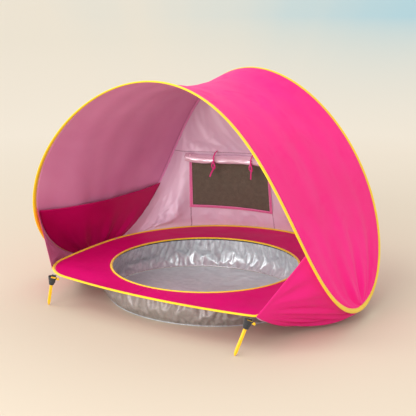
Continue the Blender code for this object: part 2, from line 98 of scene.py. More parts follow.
def linear(red, green, blue):
    """A display colour, 0 to 255 a channel, as the shader takes it."""
    shares = [value / 255 for value in (red, green, blue)]
    return (*[c / 12.92 if c <= 0.04045 else ((c + 0.055) / 1.055) ** 2.4 for c in shares], 1)


def node(tree, kind, inputs, **settings):
    """A shader node with its settings made and its inputs set, or linked where a socket is given."""
    made = tree.nodes.new("ShaderNode" + kind)
    for name, value in settings.items():
        setattr(made, name, value)
    for name, value in inputs.items():
        if isinstance(value, bpy.types.NodeSocket):
            tree.links.new(value, made.inputs[name])
        else:
            made.inputs[name].default_value = value
    return made


def maths(tree, operation, *values):
    """The result of a Math node. Each value is a number or a socket."""
    return node(tree, "Math", dict(enumerate(values)), operation=operation).outputs[0]


def ramp(tree, share, *stops):
    """The colour of a ramp whose stops are given in order, as (position, colour)."""
    made = node(tree, "ValToRGB", {"Fac": share})
    elements = made.color_ramp.elements
    elements[0].position, elements[0].color = stops[0]
    elements[1].position, elements[1].color = stops[-1]
    for position, colour in stops[1:-1]:
        elements.new(position).color = colour
    return made.outputs["Color"]


def cloud(tree, place, scale, detail=2.0, distortion=0.0, roughness=0.5, ridged=False):
    """A noise texture's value, soft or with sharp ridges."""
    return node(tree, "TexNoise", {"Vector": place, "Scale": scale, "Detail": detail, "Roughness": roughness,
                                   "Distortion": distortion},
                noise_type="RIDGED_MULTIFRACTAL" if ridged else "FBM").outputs["Fac"]


def relief(tree, height, strength, distance, **inputs):
    """The normal of a bump."""
    return node(tree, "Bump", {"Height": height, "Strength": strength, "Distance": distance,
                               **inputs}).outputs["Normal"]


def material(name, **sockets):
    """A material, its node tree and its Principled shader, with the given sockets set."""
    made = bpy.data.materials.new(name)
    made.use_nodes = True
    shader = made.node_tree.nodes["Principled BSDF"]
    for socket, value in sockets.items():
        shader.inputs[socket.replace("_", " ")].default_value = value
    return made, made.node_tree, shader


sand, tree, shader = material("sand", Roughness=0.9)
place = node(tree, "TexCoord", {}).outputs["Object"]
distance = node(tree, "VectorMath", {0: place}, operation="LENGTH").outputs["Value"]
far = node(tree, "MapRange", {"Value": distance, "From Min": 0.6, "From Max": 14.0}, clamp=True)
fade = ramp(tree, far.outputs["Result"], (0.0, linear(209, 196, 176)), (0.22, linear(223, 214, 199)),
            (1.0, linear(219, 211, 195)))
eastward = node(tree, "SeparateXYZ", {"Vector": place}).outputs["X"]
bearing = maths(tree, "DIVIDE", eastward, distance)
heading = node(tree, "VectorMath", {0: place}, operation="NORMALIZE").outputs[0]
wisps = maths(tree, "MULTIPLY_ADD", cloud(tree, heading, 7.0, 3.0), 0.25, bearing)
turned = node(tree, "MapRange", {"Value": wisps, "From Min": -0.55, "From Max": -0.2}, clamp=True)
beyond = node(tree, "MapRange", {"Value": distance, "From Min": 3.0, "From Max": 26.0}, clamp=True)
blue = maths(tree, "MULTIPLY", turned.outputs["Result"], beyond.outputs["Result"])
air = node(tree, "MixRGB", {"Fac": blue, "Color1": fade, "Color2": linear(160, 196, 206)})
tree.links.new(air.outputs["Color"], shader.inputs["Base Color"])

ground = bmesh.new()
bmesh.ops.create_grid(ground, x_segments=1, y_segments=1, size=300)
floor = bpy.data.objects.new("floor", bpy.data.meshes.new("floor"))
ground.to_mesh(floor.data)
ground.free()
floor.data.materials.append(sand)
scene.collection.objects.link(floor)

# ---------------------------------------------------------------- canopy hoop
# One loop of 3 mm spring steel, bent into a front and a rear arch that meet at two low feet. It runs in a
# binding of folded yellow tape, sewn to the canopy along its inner edge.

WIRE = 0.0015
BINDING_HALF_WIDTH = 0.0075
BINDING_HALF_THICKNESS = 0.0028
SHOULDER_BOW = 0.093
SHOULDER_FULLNESS = 0.06
FRONT_FULLNESS = 0.065


def node_middle(name):
    """The middle of a node where it crosses the plane x = 0."""
    points = [v.co for v in frame["nodes"][name].data.vertices if abs(v.co.x) < WIRE]
    return sum(points, Vector()) / len(points)


fold = next(joint for joint in frame["joints"] if joint["name"] == "taco_fold")
foot_y, ring_height = fold["pos_m"][1], fold["pos_m"][2]
front_apex, rear_apex = node_middle("front_arch_wire"), node_middle("rear_arch_wire")
hoop_half_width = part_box("front_arch_wire")[1].x - WIRE
foot_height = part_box("front_arch_wire")[0].z + WIRE


def hoop_width(angle):
    return math.sin(angle) + FRONT_FULLNESS * math.sin(2 * angle) + SHOULDER_FULLNESS * math.sin(3 * angle)


widest = max(hoop_width(math.radians(degree)) for degree in range(91))


def hoop(degrees):
    """A point of the canopy hoop: 0 at the front apex, 90 at the right foot, 180 at the rear apex."""
    angle = math.radians(degrees)
    halfway = (front_apex.y + rear_apex.y) / 2
    half_gap = (rear_apex.y - front_apex.y) / 2
    rise = math.cos(angle) ** 2
    return Vector((
        hoop_half_width * hoop_width(angle) / widest,
        foot_y + (halfway - foot_y) * rise
        - (half_gap + SHOULDER_BOW) * math.cos(angle) + SHOULDER_BOW * math.cos(3 * angle),
        foot_height + (front_apex.z - foot_height) * rise,
    ))


def across(degrees):
    """The unit vector from the hoop into the canopy, square to the wire."""
    tangent = (hoop(degrees + 0.5) - hoop(degrees - 0.5)).normalized()
    near = 0.85 * degrees if abs(degrees) < 90 else math.copysign(180, degrees) * 0.15 + 0.85 * degrees
    opposite = math.copysign(180, near) - near if near else 180.0
    inwards = (hoop(near) + hoop(opposite)) / 2 - hoop(degrees)
    return (inwards - inwards.dot(tangent) * tangent).normalized()


def ripple(*place):
    """Smooth noise about zero, the same each time."""
    return noise.noise(Vector(place))


def ease(value, low, high):
    """0 below low, 1 above high, and a smooth step between them."""
    share = min(1.0, max(0.0, (value - low) / (high - low)))
    return share * share * (3 - 2 * share)


def smooth_path(points, share):
    """A point on a smooth curve through the given points."""
    place = min(max(share, 0.0), 1.0) * (len(points) - 1)
    first = min(int(place), len(points) - 2)
    before, a = points[max(first - 1, 0)], points[first]
    b, after = points[first + 1], points[min(first + 2, len(points) - 1)]
    t = place - first
    return 0.5 * (2 * a + (b - before) * t + (2 * before - 5 * a + 4 * b - after) * t ** 2
                  + (3 * a - before - 3 * b + after) * t ** 3)


def shaped(name, columns, rows, point, size, inside=None, closed_across=False, closed_along=False,
           ends=False):
    """A sheet, or a tube where it closes across, shaped from a grid.

    point(u, v) gives the place of each grid point, u across and v along, both from 0 to 1. size is the
    cloth's width and length, for its UV map. Its faces look away from inside.
    """
    sheet = bmesh.new()
    bmesh.ops.create_grid(sheet, x_segments=columns, y_segments=rows, size=0.5)
    chart = sheet.loops.layers.uv.new("cloth")
    for face in sheet.faces:
        for corner in face.loops:
            corner[chart].uv = ((corner.vert.co.x + 0.5) * size[0], (corner.vert.co.y + 0.5) * size[1])
    for vertex in sheet.verts:
        vertex.co = point(round(vertex.co.x + 0.5, 6), round(vertex.co.y + 0.5, 6))
    if closed_across or closed_along:
        bmesh.ops.remove_doubles(sheet, verts=sheet.verts, dist=1e-6)
    if ends:
        bmesh.ops.holes_fill(sheet, edges=sheet.edges, sides=columns + 2)
    sheet.normal_update()
    if inside is None:
        bmesh.ops.recalc_face_normals(sheet, faces=sheet.faces)
    elif sum(face.normal.dot(face.calc_center_median() - Vector(inside)) for face in sheet.faces) < 0:
        bmesh.ops.reverse_faces(sheet, faces=sheet.faces)
    for face in sheet.faces:
        face.smooth = True
    mesh = bpy.data.meshes.new(name)
    sheet.to_mesh(mesh)
    sheet.free()
    piece = bpy.data.objects.new(name, mesh)
    scene.collection.objects.link(piece)
    return piece


def dress(piece, *materials):
    """Gives a piece its materials: the outer face first, then the inner face."""
    for finish in materials:
        piece.data.materials.append(finish)
    return piece


def binding_section(turn, swell=0.0):
    """The section of a folded tape round its wire, as (across, up): flat and sewn at +1, full at the wire."""
    angle = 2 * math.pi * turn
    reach = math.cos(angle)
    full = BINDING_HALF_THICKNESS + swell
    body = abs(math.sin(angle)) ** 0.8 * full * (1 - 0.62 * ease(reach, 0.1, 0.75))
    seam = 0.35 * full * math.exp(-((reach - 0.62) / 0.09) ** 2)
    return reach * BINDING_HALF_WIDTH, math.copysign(max(body - seam, 0.0), math.sin(angle))


def stitch_line(tree, chart, offset, pitch, width):
    """1 on the stitches of a row of thread that runs along V at U = offset, in metres."""
    split = node(tree, "SeparateXYZ", {"Vector": chart})
    beside = maths(tree, "SUBTRACT", split.outputs["X"], offset)
    near = maths(tree, "COMPARE", beside, 0.0, width)
    step = maths(tree, "DIVIDE", split.outputs["Y"], pitch)
    share = maths(tree, "FRACT", step)
    on = maths(tree, "LESS_THAN", share, 0.68)
    return maths(tree, "MULTIPLY", near, on)


def tape(name, colour, thread, rows, girth):
    """Woven binding tape: fine ribs across it, a slight sheen, and rows of stitches."""
    made, tree, shader = material(name, Roughness=0.5, Sheen_Weight=0.25, Sheen_Roughness=0.4)
    chart = node(tree, "TexCoord", {}).outputs["UV"]
    place = node(tree, "TexCoord", {}).outputs["Object"]
    darker = (*[0.86 * c for c in colour[:3]], 1)
    shade = ramp(tree, cloud(tree, place, 9.0, 5.0), (0.3, darker), (0.7, colour))
    ribs = node(tree, "TexWave", {"Vector": chart, "Scale": 320.0, "Distortion": 0.4},
                bands_direction="Y").outputs["Fac"]
    stitches = 0.0
    for offset in rows:
        row = stitch_line(tree, chart, offset * girth, 0.0032, 0.0004)
        stitches = maths(tree, "MAXIMUM", row, stitches)
    sewn = node(tree, "MixRGB", {"Fac": stitches, "Color1": shade, "Color2": thread})
    tree.links.new(sewn.outputs["Color"], shader.inputs["Base Color"])
    raised = maths(tree, "MULTIPLY", ribs, 0.35)
    raised = maths(tree, "ADD", raised, stitches)
    tree.links.new(relief(tree, raised, 0.5, 0.0004), shader.inputs["Normal"])
    return made


def steel_wire(name, point, count, node_names):
    """The spring-steel wire inside a binding. It is closed at both ends."""
    def on_wire(u, v):
        here, ahead = point(v), (point(v + 0.001) - point(v - 0.001)).normalized()
        side = ahead.orthogonal().normalized()
        turn = 2 * math.pi * u
        return here + (side * math.cos(turn) + ahead.cross(side) * math.sin(turn)) * WIRE
    wire = shaped(name, 8, count, on_wire, (2 * math.pi * WIRE, 2.0), closed_across=True, ends=True)
    dress(wire, spring_steel)
    bends(wire, "spring_steel", *node_names)


def bends(piece, slot, *node_names):
    """Bakes the piece's placing into its mesh, and stands for the given nodes."""
    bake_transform(piece)
    if node_names:
        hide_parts(*node_names)


def rides(piece, body, node_name):
    """The piece moves with a rigid body, and stands for the given node."""
    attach(piece, body)
    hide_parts(node_name)


spring_steel, tree, shader = material("spring_steel", Metallic=1.0, Roughness=0.3)
drawn = cloud(tree, node(tree, "TexCoord", {}).outputs["Object"], 400.0)
steel_shade = node(tree, "MixRGB", {"Fac": drawn, "Color1": (0.42, 0.43, 0.45, 1),
                                    "Color2": (0.60, 0.60, 0.61, 1)})
tree.links.new(steel_shade.outputs["Color"], shader.inputs["Base Color"])
for name in ("hoop_ferrule_left", "hoop_ferrule_right", "ring_ferrule_left", "ring_ferrule_right"):
    frame["nodes"][name].data.materials.clear()
    frame["nodes"][name].data.materials.append(spring_steel)

BINDING_GIRTH = 0.036
yellow = linear(255, 214, 12)
yellow_tape = tape("yellow_tape", yellow, linear(255, 226, 110), (0.125, 0.875), BINDING_GIRTH)


def on_hoop_binding(u, v):
    degrees = -90 + 360 * v
    ahead = (hoop(degrees + 0.3) - hoop(degrees - 0.3)).normalized()
    side = across(degrees)
    flat = ahead.cross(side)
    from_foot = abs(abs(degrees) % 180 - 90) if degrees <= 90 else abs(degrees - 90)
    over_ferrule = 0.0007 * (1 - ease(from_foot, 3, 6))
    out, up = binding_section(u, over_ferrule)
    gathered = 1 + 0.05 * ripple(degrees * 2.1, 3 * u, 1.7)
    return hoop(degrees) + side * out + flat * up * gathered


hoop_binding = shaped("hoop_binding", 20, 640, on_hoop_binding, (BINDING_GIRTH, 3.9),
                      closed_across=True, closed_along=True)
dress(hoop_binding, yellow_tape)
bends(hoop_binding, "casing", "front_arch_casing", "rear_arch_casing")
steel_wire("front_arch_steel", lambda v: hoop(-89.6 + 179.2 * v), 160, ["front_arch_wire"])
steel_wire("rear_arch_steel", lambda v: hoop(90.4 + 179.2 * v), 160, ["rear_arch_wire"])

# ---------------------------------------------------------------- canopy
# One saddle-shaped panel of pink polyester between the two arches, silver-coated inside. It tapers to nothing
# at the feet, where its slack gathers in long folds.

CLOTH = 0.0006
EDGE_LAP = 0.0015  # how far the cloth's edge lies inside its binding
CANOPY_SAG = 0.034
CLOTH_END = 88.0  # degrees round the hoop where the canopy stops, just above the feet


def canopy_edge(degrees):
    return hoop(degrees) + across(degrees) * (BINDING_HALF_WIDTH - EDGE_LAP)


def canopy(share, degrees):
    """A point of the canopy before its folds: share 0 at the front arch and 1 at the rear arch."""
    rear = math.copysign(180, degrees) - degrees if degrees else 180.0
    point = canopy_edge(degrees).lerp(canopy_edge(rear), share)
    sag = CANOPY_SAG * 4 * share * (1 - share) * math.cos(math.radians(degrees)) ** 2
    return point - Vector((0, 0, sag))


def canopy_out(share, degrees):
    """The canopy's outward unit normal."""
    over = canopy(min(share + 0.02, 1), degrees) - canopy(max(share - 0.02, 0), degrees)
    along = canopy(share, degrees + 0.5) - canopy(share, degrees - 0.5)
    return over.cross(along).normalized() * -1


def canopy_folds(share, degrees):
    """How far the cloth stands out: long soft folds, a fan of creases at each foot, puckers at its seams."""
    edge = max(0.0, 4 * share * (1 - share))
    low = ease(abs(degrees), 40, 80)
    slant = share + degrees / 260
    long_folds = 0.0060 * ripple(slant * 3.4, degrees / 55, 2.0)
    long_folds += 0.0034 * ripple(slant * 8, degrees / 38, 9.0)
    low *= 1 - 0.85 * ease(abs(degrees), 72, 86)
    fan = 0.0066 * low * math.sin(2 * math.pi * (3.1 * share + 0.12 * math.sin(degrees / 9)))
    fan += 0.0030 * low * math.sin(2 * math.pi * 7.3 * share + degrees / 14)
    near_edge = math.exp(-min(share, 1 - share) / 0.05) * min(1.0, max(0.0, min(share, 1 - share)) / 0.008)
    puckers = 0.0012 * near_edge * ripple(degrees * 0.9, 4 * share, 5.0)
    return (edge ** 0.7) * (long_folds + fan) + puckers


def woven(tree, chart, strength):
    """The bump of a plain weave, too fine to see from afar."""
    warp = node(tree, "TexWave", {"Vector": chart, "Scale": 520.0}, bands_direction="X").outputs["Fac"]
    weft = node(tree, "TexWave", {"Vector": chart, "Scale": 520.0}, bands_direction="Y").outputs["Fac"]
    both = maths(tree, "MULTIPLY", warp, weft)
    return relief(tree, both, strength, 0.0002)


def seam_lines(tree, place, seams):
    """1 on straight seams, each given as (its axis, place at 0, slope, the other axis, that axis's range)."""
    split = node(tree, "SeparateXYZ", {"Vector": place})
    mask = 0.0
    for axis, level, slope, other, (first, last) in seams:
        line = maths(tree, "MULTIPLY_ADD", split.outputs[other], slope, level)
        near = maths(tree, "COMPARE", split.outputs[axis], line, 0.0014)
        within = maths(tree, "COMPARE", split.outputs[other], (first + last) / 2, (last - first) / 2)
        step = maths(tree, "MULTIPLY", split.outputs[other], 160.0)
        thread = node(tree, "MapRange", {"Value": maths(tree, "FRACT", step),
                                         "From Min": 0.0, "From Max": 1.0, "To Min": 0.35, "To Max": 0.9})
        line = maths(tree, "MULTIPLY", near, within)
        line = maths(tree, "MULTIPLY", line, thread.outputs["Result"])
        mask = maths(tree, "MAXIMUM", line, mask)
    return mask


def polyester(name, light, deep, roughness, metallic=0.0, crease=0.35, crease_scale=14.0, gloss=0.4,
              seams=()):
    """Woven polyester, plain or coated: two close tones, crease relief, and a weave on top."""
    made, tree, shader = material(name, Metallic=metallic, Specular_IOR_Level=gloss)
    place = node(tree, "TexCoord", {})
    tones = cloud(tree, place.outputs["Object"], 3.4, 3.0, 0.4)
    colour = ramp(tree, tones, (0.32, deep), (0.68, light))
    if seams:
        sewn = seam_lines(tree, place.outputs["Object"], seams)
        colour = node(tree, "MixRGB", {"Fac": sewn, "Color1": colour,
                                       "Color2": linear(128, 84, 100)}).outputs["Color"]
    tree.links.new(colour, shader.inputs["Base Color"])
    creases = cloud(tree, place.outputs["Object"], crease_scale, 6.0, 1.2, roughness=0.55, ridged=True)
    worn = node(tree, "MapRange", {"Value": creases, "To Min": roughness - 0.08, "To Max": roughness + 0.1})
    tree.links.new(worn.outputs["Result"], shader.inputs["Roughness"])
    folded = relief(tree, creases, crease, 0.002, Normal=woven(tree, place.outputs["UV"], 0.15))
    tree.links.new(folded, shader.inputs["Normal"])
    return made


def two_faced(piece, outer, inner, thickness=CLOTH):
    """Gives a sheet its thickness, with one cloth face outside and the other inside."""
    dress(piece, outer, inner)
    wall = piece.modifiers.new("cloth", "SOLIDIFY")
    wall.thickness = thickness
    wall.offset = 0.0
    wall.material_offset = 1
    wall.material_offset_rim = 0
    return piece


pink_cloth = polyester("pink_cloth", linear(252, 4, 138), linear(245, 2, 127), 0.58, crease=0.10, gloss=0.22)
mauve_coating = polyester("mauve_coating", linear(232, 160, 198), linear(220, 138, 182), 0.5, 0.05,
                          crease=0.18)

INSIDE_TENT = (0, 0.06, 0.25)
canopy_piece = shaped(
    "canopy_panel", 64, 260,
    lambda u, v: canopy(u, CLOTH_END * (2 * v - 1))
    + canopy_out(u, CLOTH_END * (2 * v - 1)) * canopy_folds(u, CLOTH_END * (2 * v - 1)),
    (0.55, 1.9), inside=INSIDE_TENT)
two_faced(canopy_piece, pink_cloth, mauve_coating)
bends(canopy_piece, "outer_cloth", "canopy")

# ---------------------------------------------------------------- pockets
# Inside each end of the canopy lies a half-moon panel of pink cloth, its crimson colour painted shade, a
# pocket for small things. Its curved sides are caught in the hoop's seams and its straight top edge is hemmed
# and open.

POCKET_TOP = 55.0
HEM = 0.012
# The canopy's pink cloth, darkened to crimson on the pocket panels as painted shade.
crimson_cloth = polyester("crimson_cloth", linear(206, 0, 104), linear(182, 0, 84), 0.5, crease=0.12,
                          gloss=0.2)

for side, sign in (("left", -1), ("right", 1)):

    def on_pocket(u, v, sign=sign):
        degrees = POCKET_TOP + (CLOTH_END - 1 - POCKET_TOP) * v
        share = 0.012 + 0.996 * u
        bow = 0.006 + 0.010 * (4 * u * (1 - u)) ** 0.8 * (1 - ease(v, 0.1, 0.9))
        hem = 0.0007 * (1 - ease(v * 0.30, HEM * 0.8, HEM))
        folds = 0.0016 * ripple(5 * u, 2.2 * v, 7.0 + sign) * (4 * u * (1 - u))
        out = canopy_folds(share, sign * degrees) * ease(v, 0.0, 0.5)
        return canopy(share, sign * degrees) + canopy_out(share, sign * degrees) * (out - bow - hem - folds)

    pocket = shaped("pocket_panel_" + side, 48, 60, on_pocket, (0.45, 0.30), inside=INSIDE_TENT)
    two_faced(pocket, crimson_cloth, crimson_cloth)
    bends(pocket, "pocket_cloth", "pocket_" + side)

# ---------------------------------------------------------------- side walls and aprons
# Below the front arch a pink wall runs from the deck's front corner back to each foot. A strip of lining, the
# apron, closes the space between the deck and the wall's lower hem.

WALL_START = 54.0
SEWN_ACROSS, SEWN_CLEAR = 0.006, 0.0034  # the wall's seam on the binding: across from the wire, and off it
RING_HALF_BINDING = 0.005
RING_CORNER = Vector((0.405, -0.354, ring_height))
RIGHT_CORNER = (0.022, 1.0)  # how far from the corner its rounding starts, and how full it is
LEFT_CORNER = (0.115, 0.6)
RING_WIDEST_Y = 0.022
HEM_LOW = Vector((0.452, -0.115, 0.022))
ring_half_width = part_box("floor_ring_front_wire")[1].x - WIRE
ring_rear_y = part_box("floor_ring_rear_wire")[1].y - WIRE


def bezier(a, b, c, d, share):
    left = 1 - share
    return left ** 3 * a + 3 * left ** 2 * share * b + 3 * left * share ** 2 * c + share ** 3 * d


def ring_side(share):
    """The right side of the floor ring, from its front corner to its widest point."""
    widest_point = Vector((ring_half_width, RING_WIDEST_Y, ring_height))
    step = widest_point - RING_CORNER
    return bezier(RING_CORNER, RING_CORNER + Vector((0.6 * step.x, 0.4 * step.y, 0)),
                  widest_point - Vector((0, 0.35 * step.y, 0)), widest_point, share)


def ring_rear(angle):
    """The right rear of the floor ring: 0 at its widest point and a quarter turn at the rear."""
    return Vector((ring_half_width * math.cos(angle),
                   RING_WIDEST_Y + (ring_rear_y - RING_WIDEST_Y) * math.sin(angle), ring_height))


def ring_corner(cut_length, fullness, share):
    """The rounded corner between the ring's front and its right side."""
    start = RING_CORNER.x - cut_length
    bow = RING_CORNER.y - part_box("floor_ring_front_wire")[0].y - WIRE
    first = Vector((start, RING_CORNER.y - bow * (1 - (start / RING_CORNER.x) ** 2), ring_height))
    last = ring_side(cut_length / (RING_WIDEST_Y - RING_CORNER.y))
    return bezier(first, first.lerp(RING_CORNER, fullness), last.lerp(RING_CORNER, fullness), last, share)


def inner_face(degrees):
    """The unit vector out of the binding's flat side that faces into the tent."""
    flat = (hoop(degrees + 0.3) - hoop(degrees - 0.3)).cross(across(degrees)).normalized()
    return flat * (1 if flat.dot(Vector(INSIDE_TENT) - hoop(degrees)) > 0 else -1)


def wall_top(degrees):
    """The side wall's top edge, sewn over the inner side of the front arch's binding to the canopy."""
    return hoop(degrees) + across(degrees) * SEWN_ACROSS + inner_face(degrees) * SEWN_CLEAR


def wall_hem(share, corner):
    """The side wall's lower edge, from the deck's corner down to the ground and up to the foot."""
    foot = hoop(90) - Vector((0, 0, BINDING_HALF_WIDTH))
    if share < 0.5:
        return bezier(corner, corner.lerp(HEM_LOW, 0.35) - Vector((-0.008, 0, 0.03)),
                      HEM_LOW - Vector((0.03, 0.05, -0.003)), HEM_LOW, share * 2)
    return bezier(HEM_LOW, HEM_LOW + Vector((0.03, 0.05, -0.002)), foot - Vector((0.01, 0.05, 0.006)),
                  foot, share * 2 - 1)


def ring_run(share, rounding):
    """The right side of the floor ring, from the middle of its rounded corner to below the hoop's foot."""
    cut = rounding[0] / (RING_WIDEST_Y - RING_CORNER.y)
    if share < 0.2:
        return ring_corner(*rounding, 0.5 + 2.5 * share)
    if share < 0.85:
        return ring_side(cut + (1 - cut) * (share - 0.2) / 0.65)
    angle = math.asin((foot_y - RING_WIDEST_Y) / (ring_rear_y - RING_WIDEST_Y)) * (share - 0.85) / 0.15
    return ring_rear(angle)


# The canopy's pink cloth, darkened for the side walls as painted shade.
shaded_wall_pink = polyester("wall_pink_cloth", linear(228, 8, 124), linear(216, 6, 112), 0.56, crease=0.12)


def wall_folds(share, height):
    """Folds that fan out from the deck's corner, strongest low down."""
    length, rise = 0.42 * share, 0.30 * height
    reach = math.hypot(length, rise)
    angle = math.atan2(rise, length + 0.02)
    fan = 0.55 * math.sin(19 * angle + 0.6) + 0.45 * math.sin(33 * angle + 1.9 + 6 * share)
    strength = 0.012 * ease(reach, 0.03, 0.2) * (1 - ease(angle, 0.25, 1.1) * 0.72)
    edges = min(1.0, height / 0.05) * min(1.0, (1 - height) / 0.2)
    edges = edges * min(1.0, share / 0.05) * ease(1 - share, 0, 0.3)
    return fan * strength * edges + 0.003 * ripple(6 * share, 5 * height, 3.0) * edges


for side, sign, rounding in (("left", -1, LEFT_CORNER), ("right", 1, RIGHT_CORNER)):
    flip = Vector((sign, 1, 1))
    corner = ring_corner(*rounding, 0.5) + Vector((0.004, -0.004, 0))

    def on_wall(u, v, flip=flip, corner=corner):
        degrees = WALL_START + (89.5 - WALL_START) * u
        top = wall_top(degrees)
        low = wall_hem(u, corner)
        out = (top - low).cross(Vector((0, 1, 0))).normalized()
        hem = 0.0009 * (1 - ease(min(0.42 * u, 0.30 * v), HEM * 0.75, HEM))
        belly = 0.006 * math.sin(math.pi * v) * ease(u, 0, 0.25)
        here = low.lerp(top, v) - out * (wall_folds(u, v) + hem + belly)
        here += inner_face(degrees) * 0.0022 * ease(v, 0.8, 0.92) * (1 - ease(v, 0.96, 1.0))
        return here * flip

    wall = shaped("side_wall_panel_" + side, 110, 70, on_wall, (0.42, 0.30), inside=INSIDE_TENT)
    two_faced(wall, shaded_wall_pink, mauve_coating)
    bends(wall, "outer_cloth", "side_wall_" + side)

    def on_apron(u, v, flip=flip, corner=corner, rounding=rounding):
        ahead = ring_run(u + 0.01, rounding) - ring_run(u - 0.01, rounding)
        outwards = Vector((ahead.y, -ahead.x, 0)).normalized()
        ring = ring_run(u, rounding) + outwards * (RING_HALF_BINDING - EDGE_LAP)
        low = wall_hem(0.03 + 0.94 * u, corner) + Vector((-0.004, 0, 0.002))
        slack = 0.004 * math.sin(math.pi * v) * (1 + ripple(9 * u, 2 * v, 4.0))
        return (ring.lerp(low, v) - Vector((0, 0, slack))) * flip

    apron = shaped("side_apron_panel_" + side, 80, 10, on_apron, (0.40, 0.09), inside=(0, 0, 1.0))
    two_faced(apron, mauve_coating, mauve_coating)
    bends(apron, "lining", "side_apron_" + side)

# ---------------------------------------------------------------- rear wall
# The back of the tent is closed by lining-grade cloth from the rear arch down to the deck, pink outside and
# silver-pink inside. It is pieced: a seam runs level above the window, and one down from each lower corner.

REAR_WALL_START = 93.0
STRAIGHT_HALF_WIDTH = 0.345
FERRULE_REACH = 0.015
CORNER_CREASES = Vector((-0.43, 0.27, 0.15))  # the middle of the creases in the left corner
window_low, window_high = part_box("window_mesh")


def ring_angle_at(y):
    return math.asin((y - RING_WIDEST_Y) / (ring_rear_y - RING_WIDEST_Y))


def wall_foot(x):
    """The rear wall's lower edge, sewn to the outside of the floor ring, below the hoop's point at x."""
    last_x = ring_rear(ring_angle_at(foot_y + FERRULE_REACH)).x
    reach = (abs(x) - STRAIGHT_HALF_WIDTH) / (hoop(REAR_WALL_START).x - STRAIGHT_HALF_WIDTH)
    drawn = abs(x) if reach < 0 else STRAIGHT_HALF_WIDTH + (last_x - STRAIGHT_HALF_WIDTH) * reach
    ring = ring_rear(math.acos(min(1.0, drawn / ring_half_width)))
    outwards = Vector((ring.x / ring_half_width ** 2,
                       (ring.y - RING_WIDEST_Y) / (ring_rear_y - RING_WIDEST_Y) ** 2, 0)).normalized()
    edge = ring + outwards * (RING_HALF_BINDING - EDGE_LAP)
    return Vector((math.copysign(edge.x, x), edge.y, edge.z))


def wall_line(degrees):
    """The rear wall's lower and upper ends below one point of the rear arch."""
    arch = hoop(degrees)
    foot = wall_foot(arch.x)
    return foot, arch + (foot - arch).normalized() * (BINDING_HALF_WIDTH - EDGE_LAP)


def rear_wall(degrees, level):
    """A point of the rear wall. Level 1 is the window's top, where the wall is that tall, and 2 the arch."""
    foot, head = wall_line(degrees)
    total = head.z - foot.z
    zone = min(window_high.z - foot.z, 0.65 * total)
    height = level * zone if level <= 1 else zone + (level - 1) * (total - zone)
    return foot.lerp(head, height / total)


def arch_degrees(x):
    """The angle on the rear arch at a given x."""
    low, high = 120.0, 240.0
    for _ in range(40):
        halfway = (low + high) / 2
        if hoop(halfway).x > x:
            low = halfway
        else:
            high = halfway
    return low


def wall_at(x, z, inset=0.0):
    """A point of the straight part of the rear wall, moved towards the inside of the tent."""
    foot, head = wall_line(arch_degrees(x))
    point = foot.lerp(head, (z - foot.z) / (head.z - foot.z))
    beside_foot, beside_head = wall_line(arch_degrees(x + 0.01))
    along = beside_foot.lerp(beside_head, (z - foot.z) / (head.z - foot.z)) - point
    return point + (head - foot).cross(along).normalized() * -inset


STIFFNESS = 8.0


def settle(piece, sewn, slack, steps, bending, gravity=0.25, loose=(), loose_slack=0.0):
    """Lets a sheet wrinkle as cloth. It grows by the slack while its sewn points stay where they are."""
    held = piece.vertex_groups.new(name="sewn")
    held.add(sewn, 1.0, "REPLACE")
    cloth = piece.modifiers.new("settle", "CLOTH")
    rules = cloth.settings
    rules.vertex_group_mass = held.name
    rules.quality = 6
    rules.mass = 0.12
    rules.tension_stiffness = rules.compression_stiffness = rules.shear_stiffness = STIFFNESS
    rules.bending_stiffness = bending
    rules.air_damping = 4.0
    rules.shrink_min = -slack
    if loose:
        spare = piece.vertex_groups.new(name="spare")
        for index, weight in loose:
            spare.add([index], weight, "REPLACE")
        rules.vertex_group_shrink = spare.name
        rules.shrink_max = -loose_slack
    rules.effector_weights.gravity = gravity
    cloth.collision_settings.use_collision = False
    cloth.point_cache.frame_end = steps
    for step in range(1, steps + 1):
        scene.frame_set(step)
    settled = bpy.data.meshes.new_from_object(piece.evaluated_get(bpy.context.evaluated_depsgraph_get()))
    piece.modifiers.remove(cloth)
    piece.data = settled
    scene.frame_set(1)


# The window's opening is pulled out of square: each corner's place, as x and height.
CORNERS = {"low_left": (window_low.x, window_low.z + 0.006),
           "low_right": (window_high.x - 0.011, window_low.z - 0.006),
           "high_left": (window_low.x, window_high.z),
           "high_right": (window_high.x + 0.008, window_high.z + 0.008)}


def window_place(u, v):
    """A place in the window's opening as x and height, u across and v up, each from 0 to 1."""
    return tuple((1 - v) * ((1 - u) * low_left + u * low_right) + v * ((1 - u) * high_left + u * high_right)
                 for low_left, low_right, high_left, high_right in zip(*CORNERS.values()))


SEAM_RISE = 0.013  # of the level seam and the rolled cover, from the left end of the cover to its right end
roll_low, roll_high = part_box("window_cover_roll")
seam_height = roll_high.z - 0.006


def seam_at(x):
    return seam_height + SEAM_RISE * (x - roll_low.x) / (roll_high.x - roll_low.x)


right_edge, left_edge = arch_degrees(window_high.x), arch_degrees(window_low.x)
COLUMNS, ROWS = (60, 40, 50), (10, 24, 56)  # right of, across and left of the window; below, beside, above it
sill_level = (window_low.z - wall_foot(0).z) / (window_high.z - wall_foot(0).z)


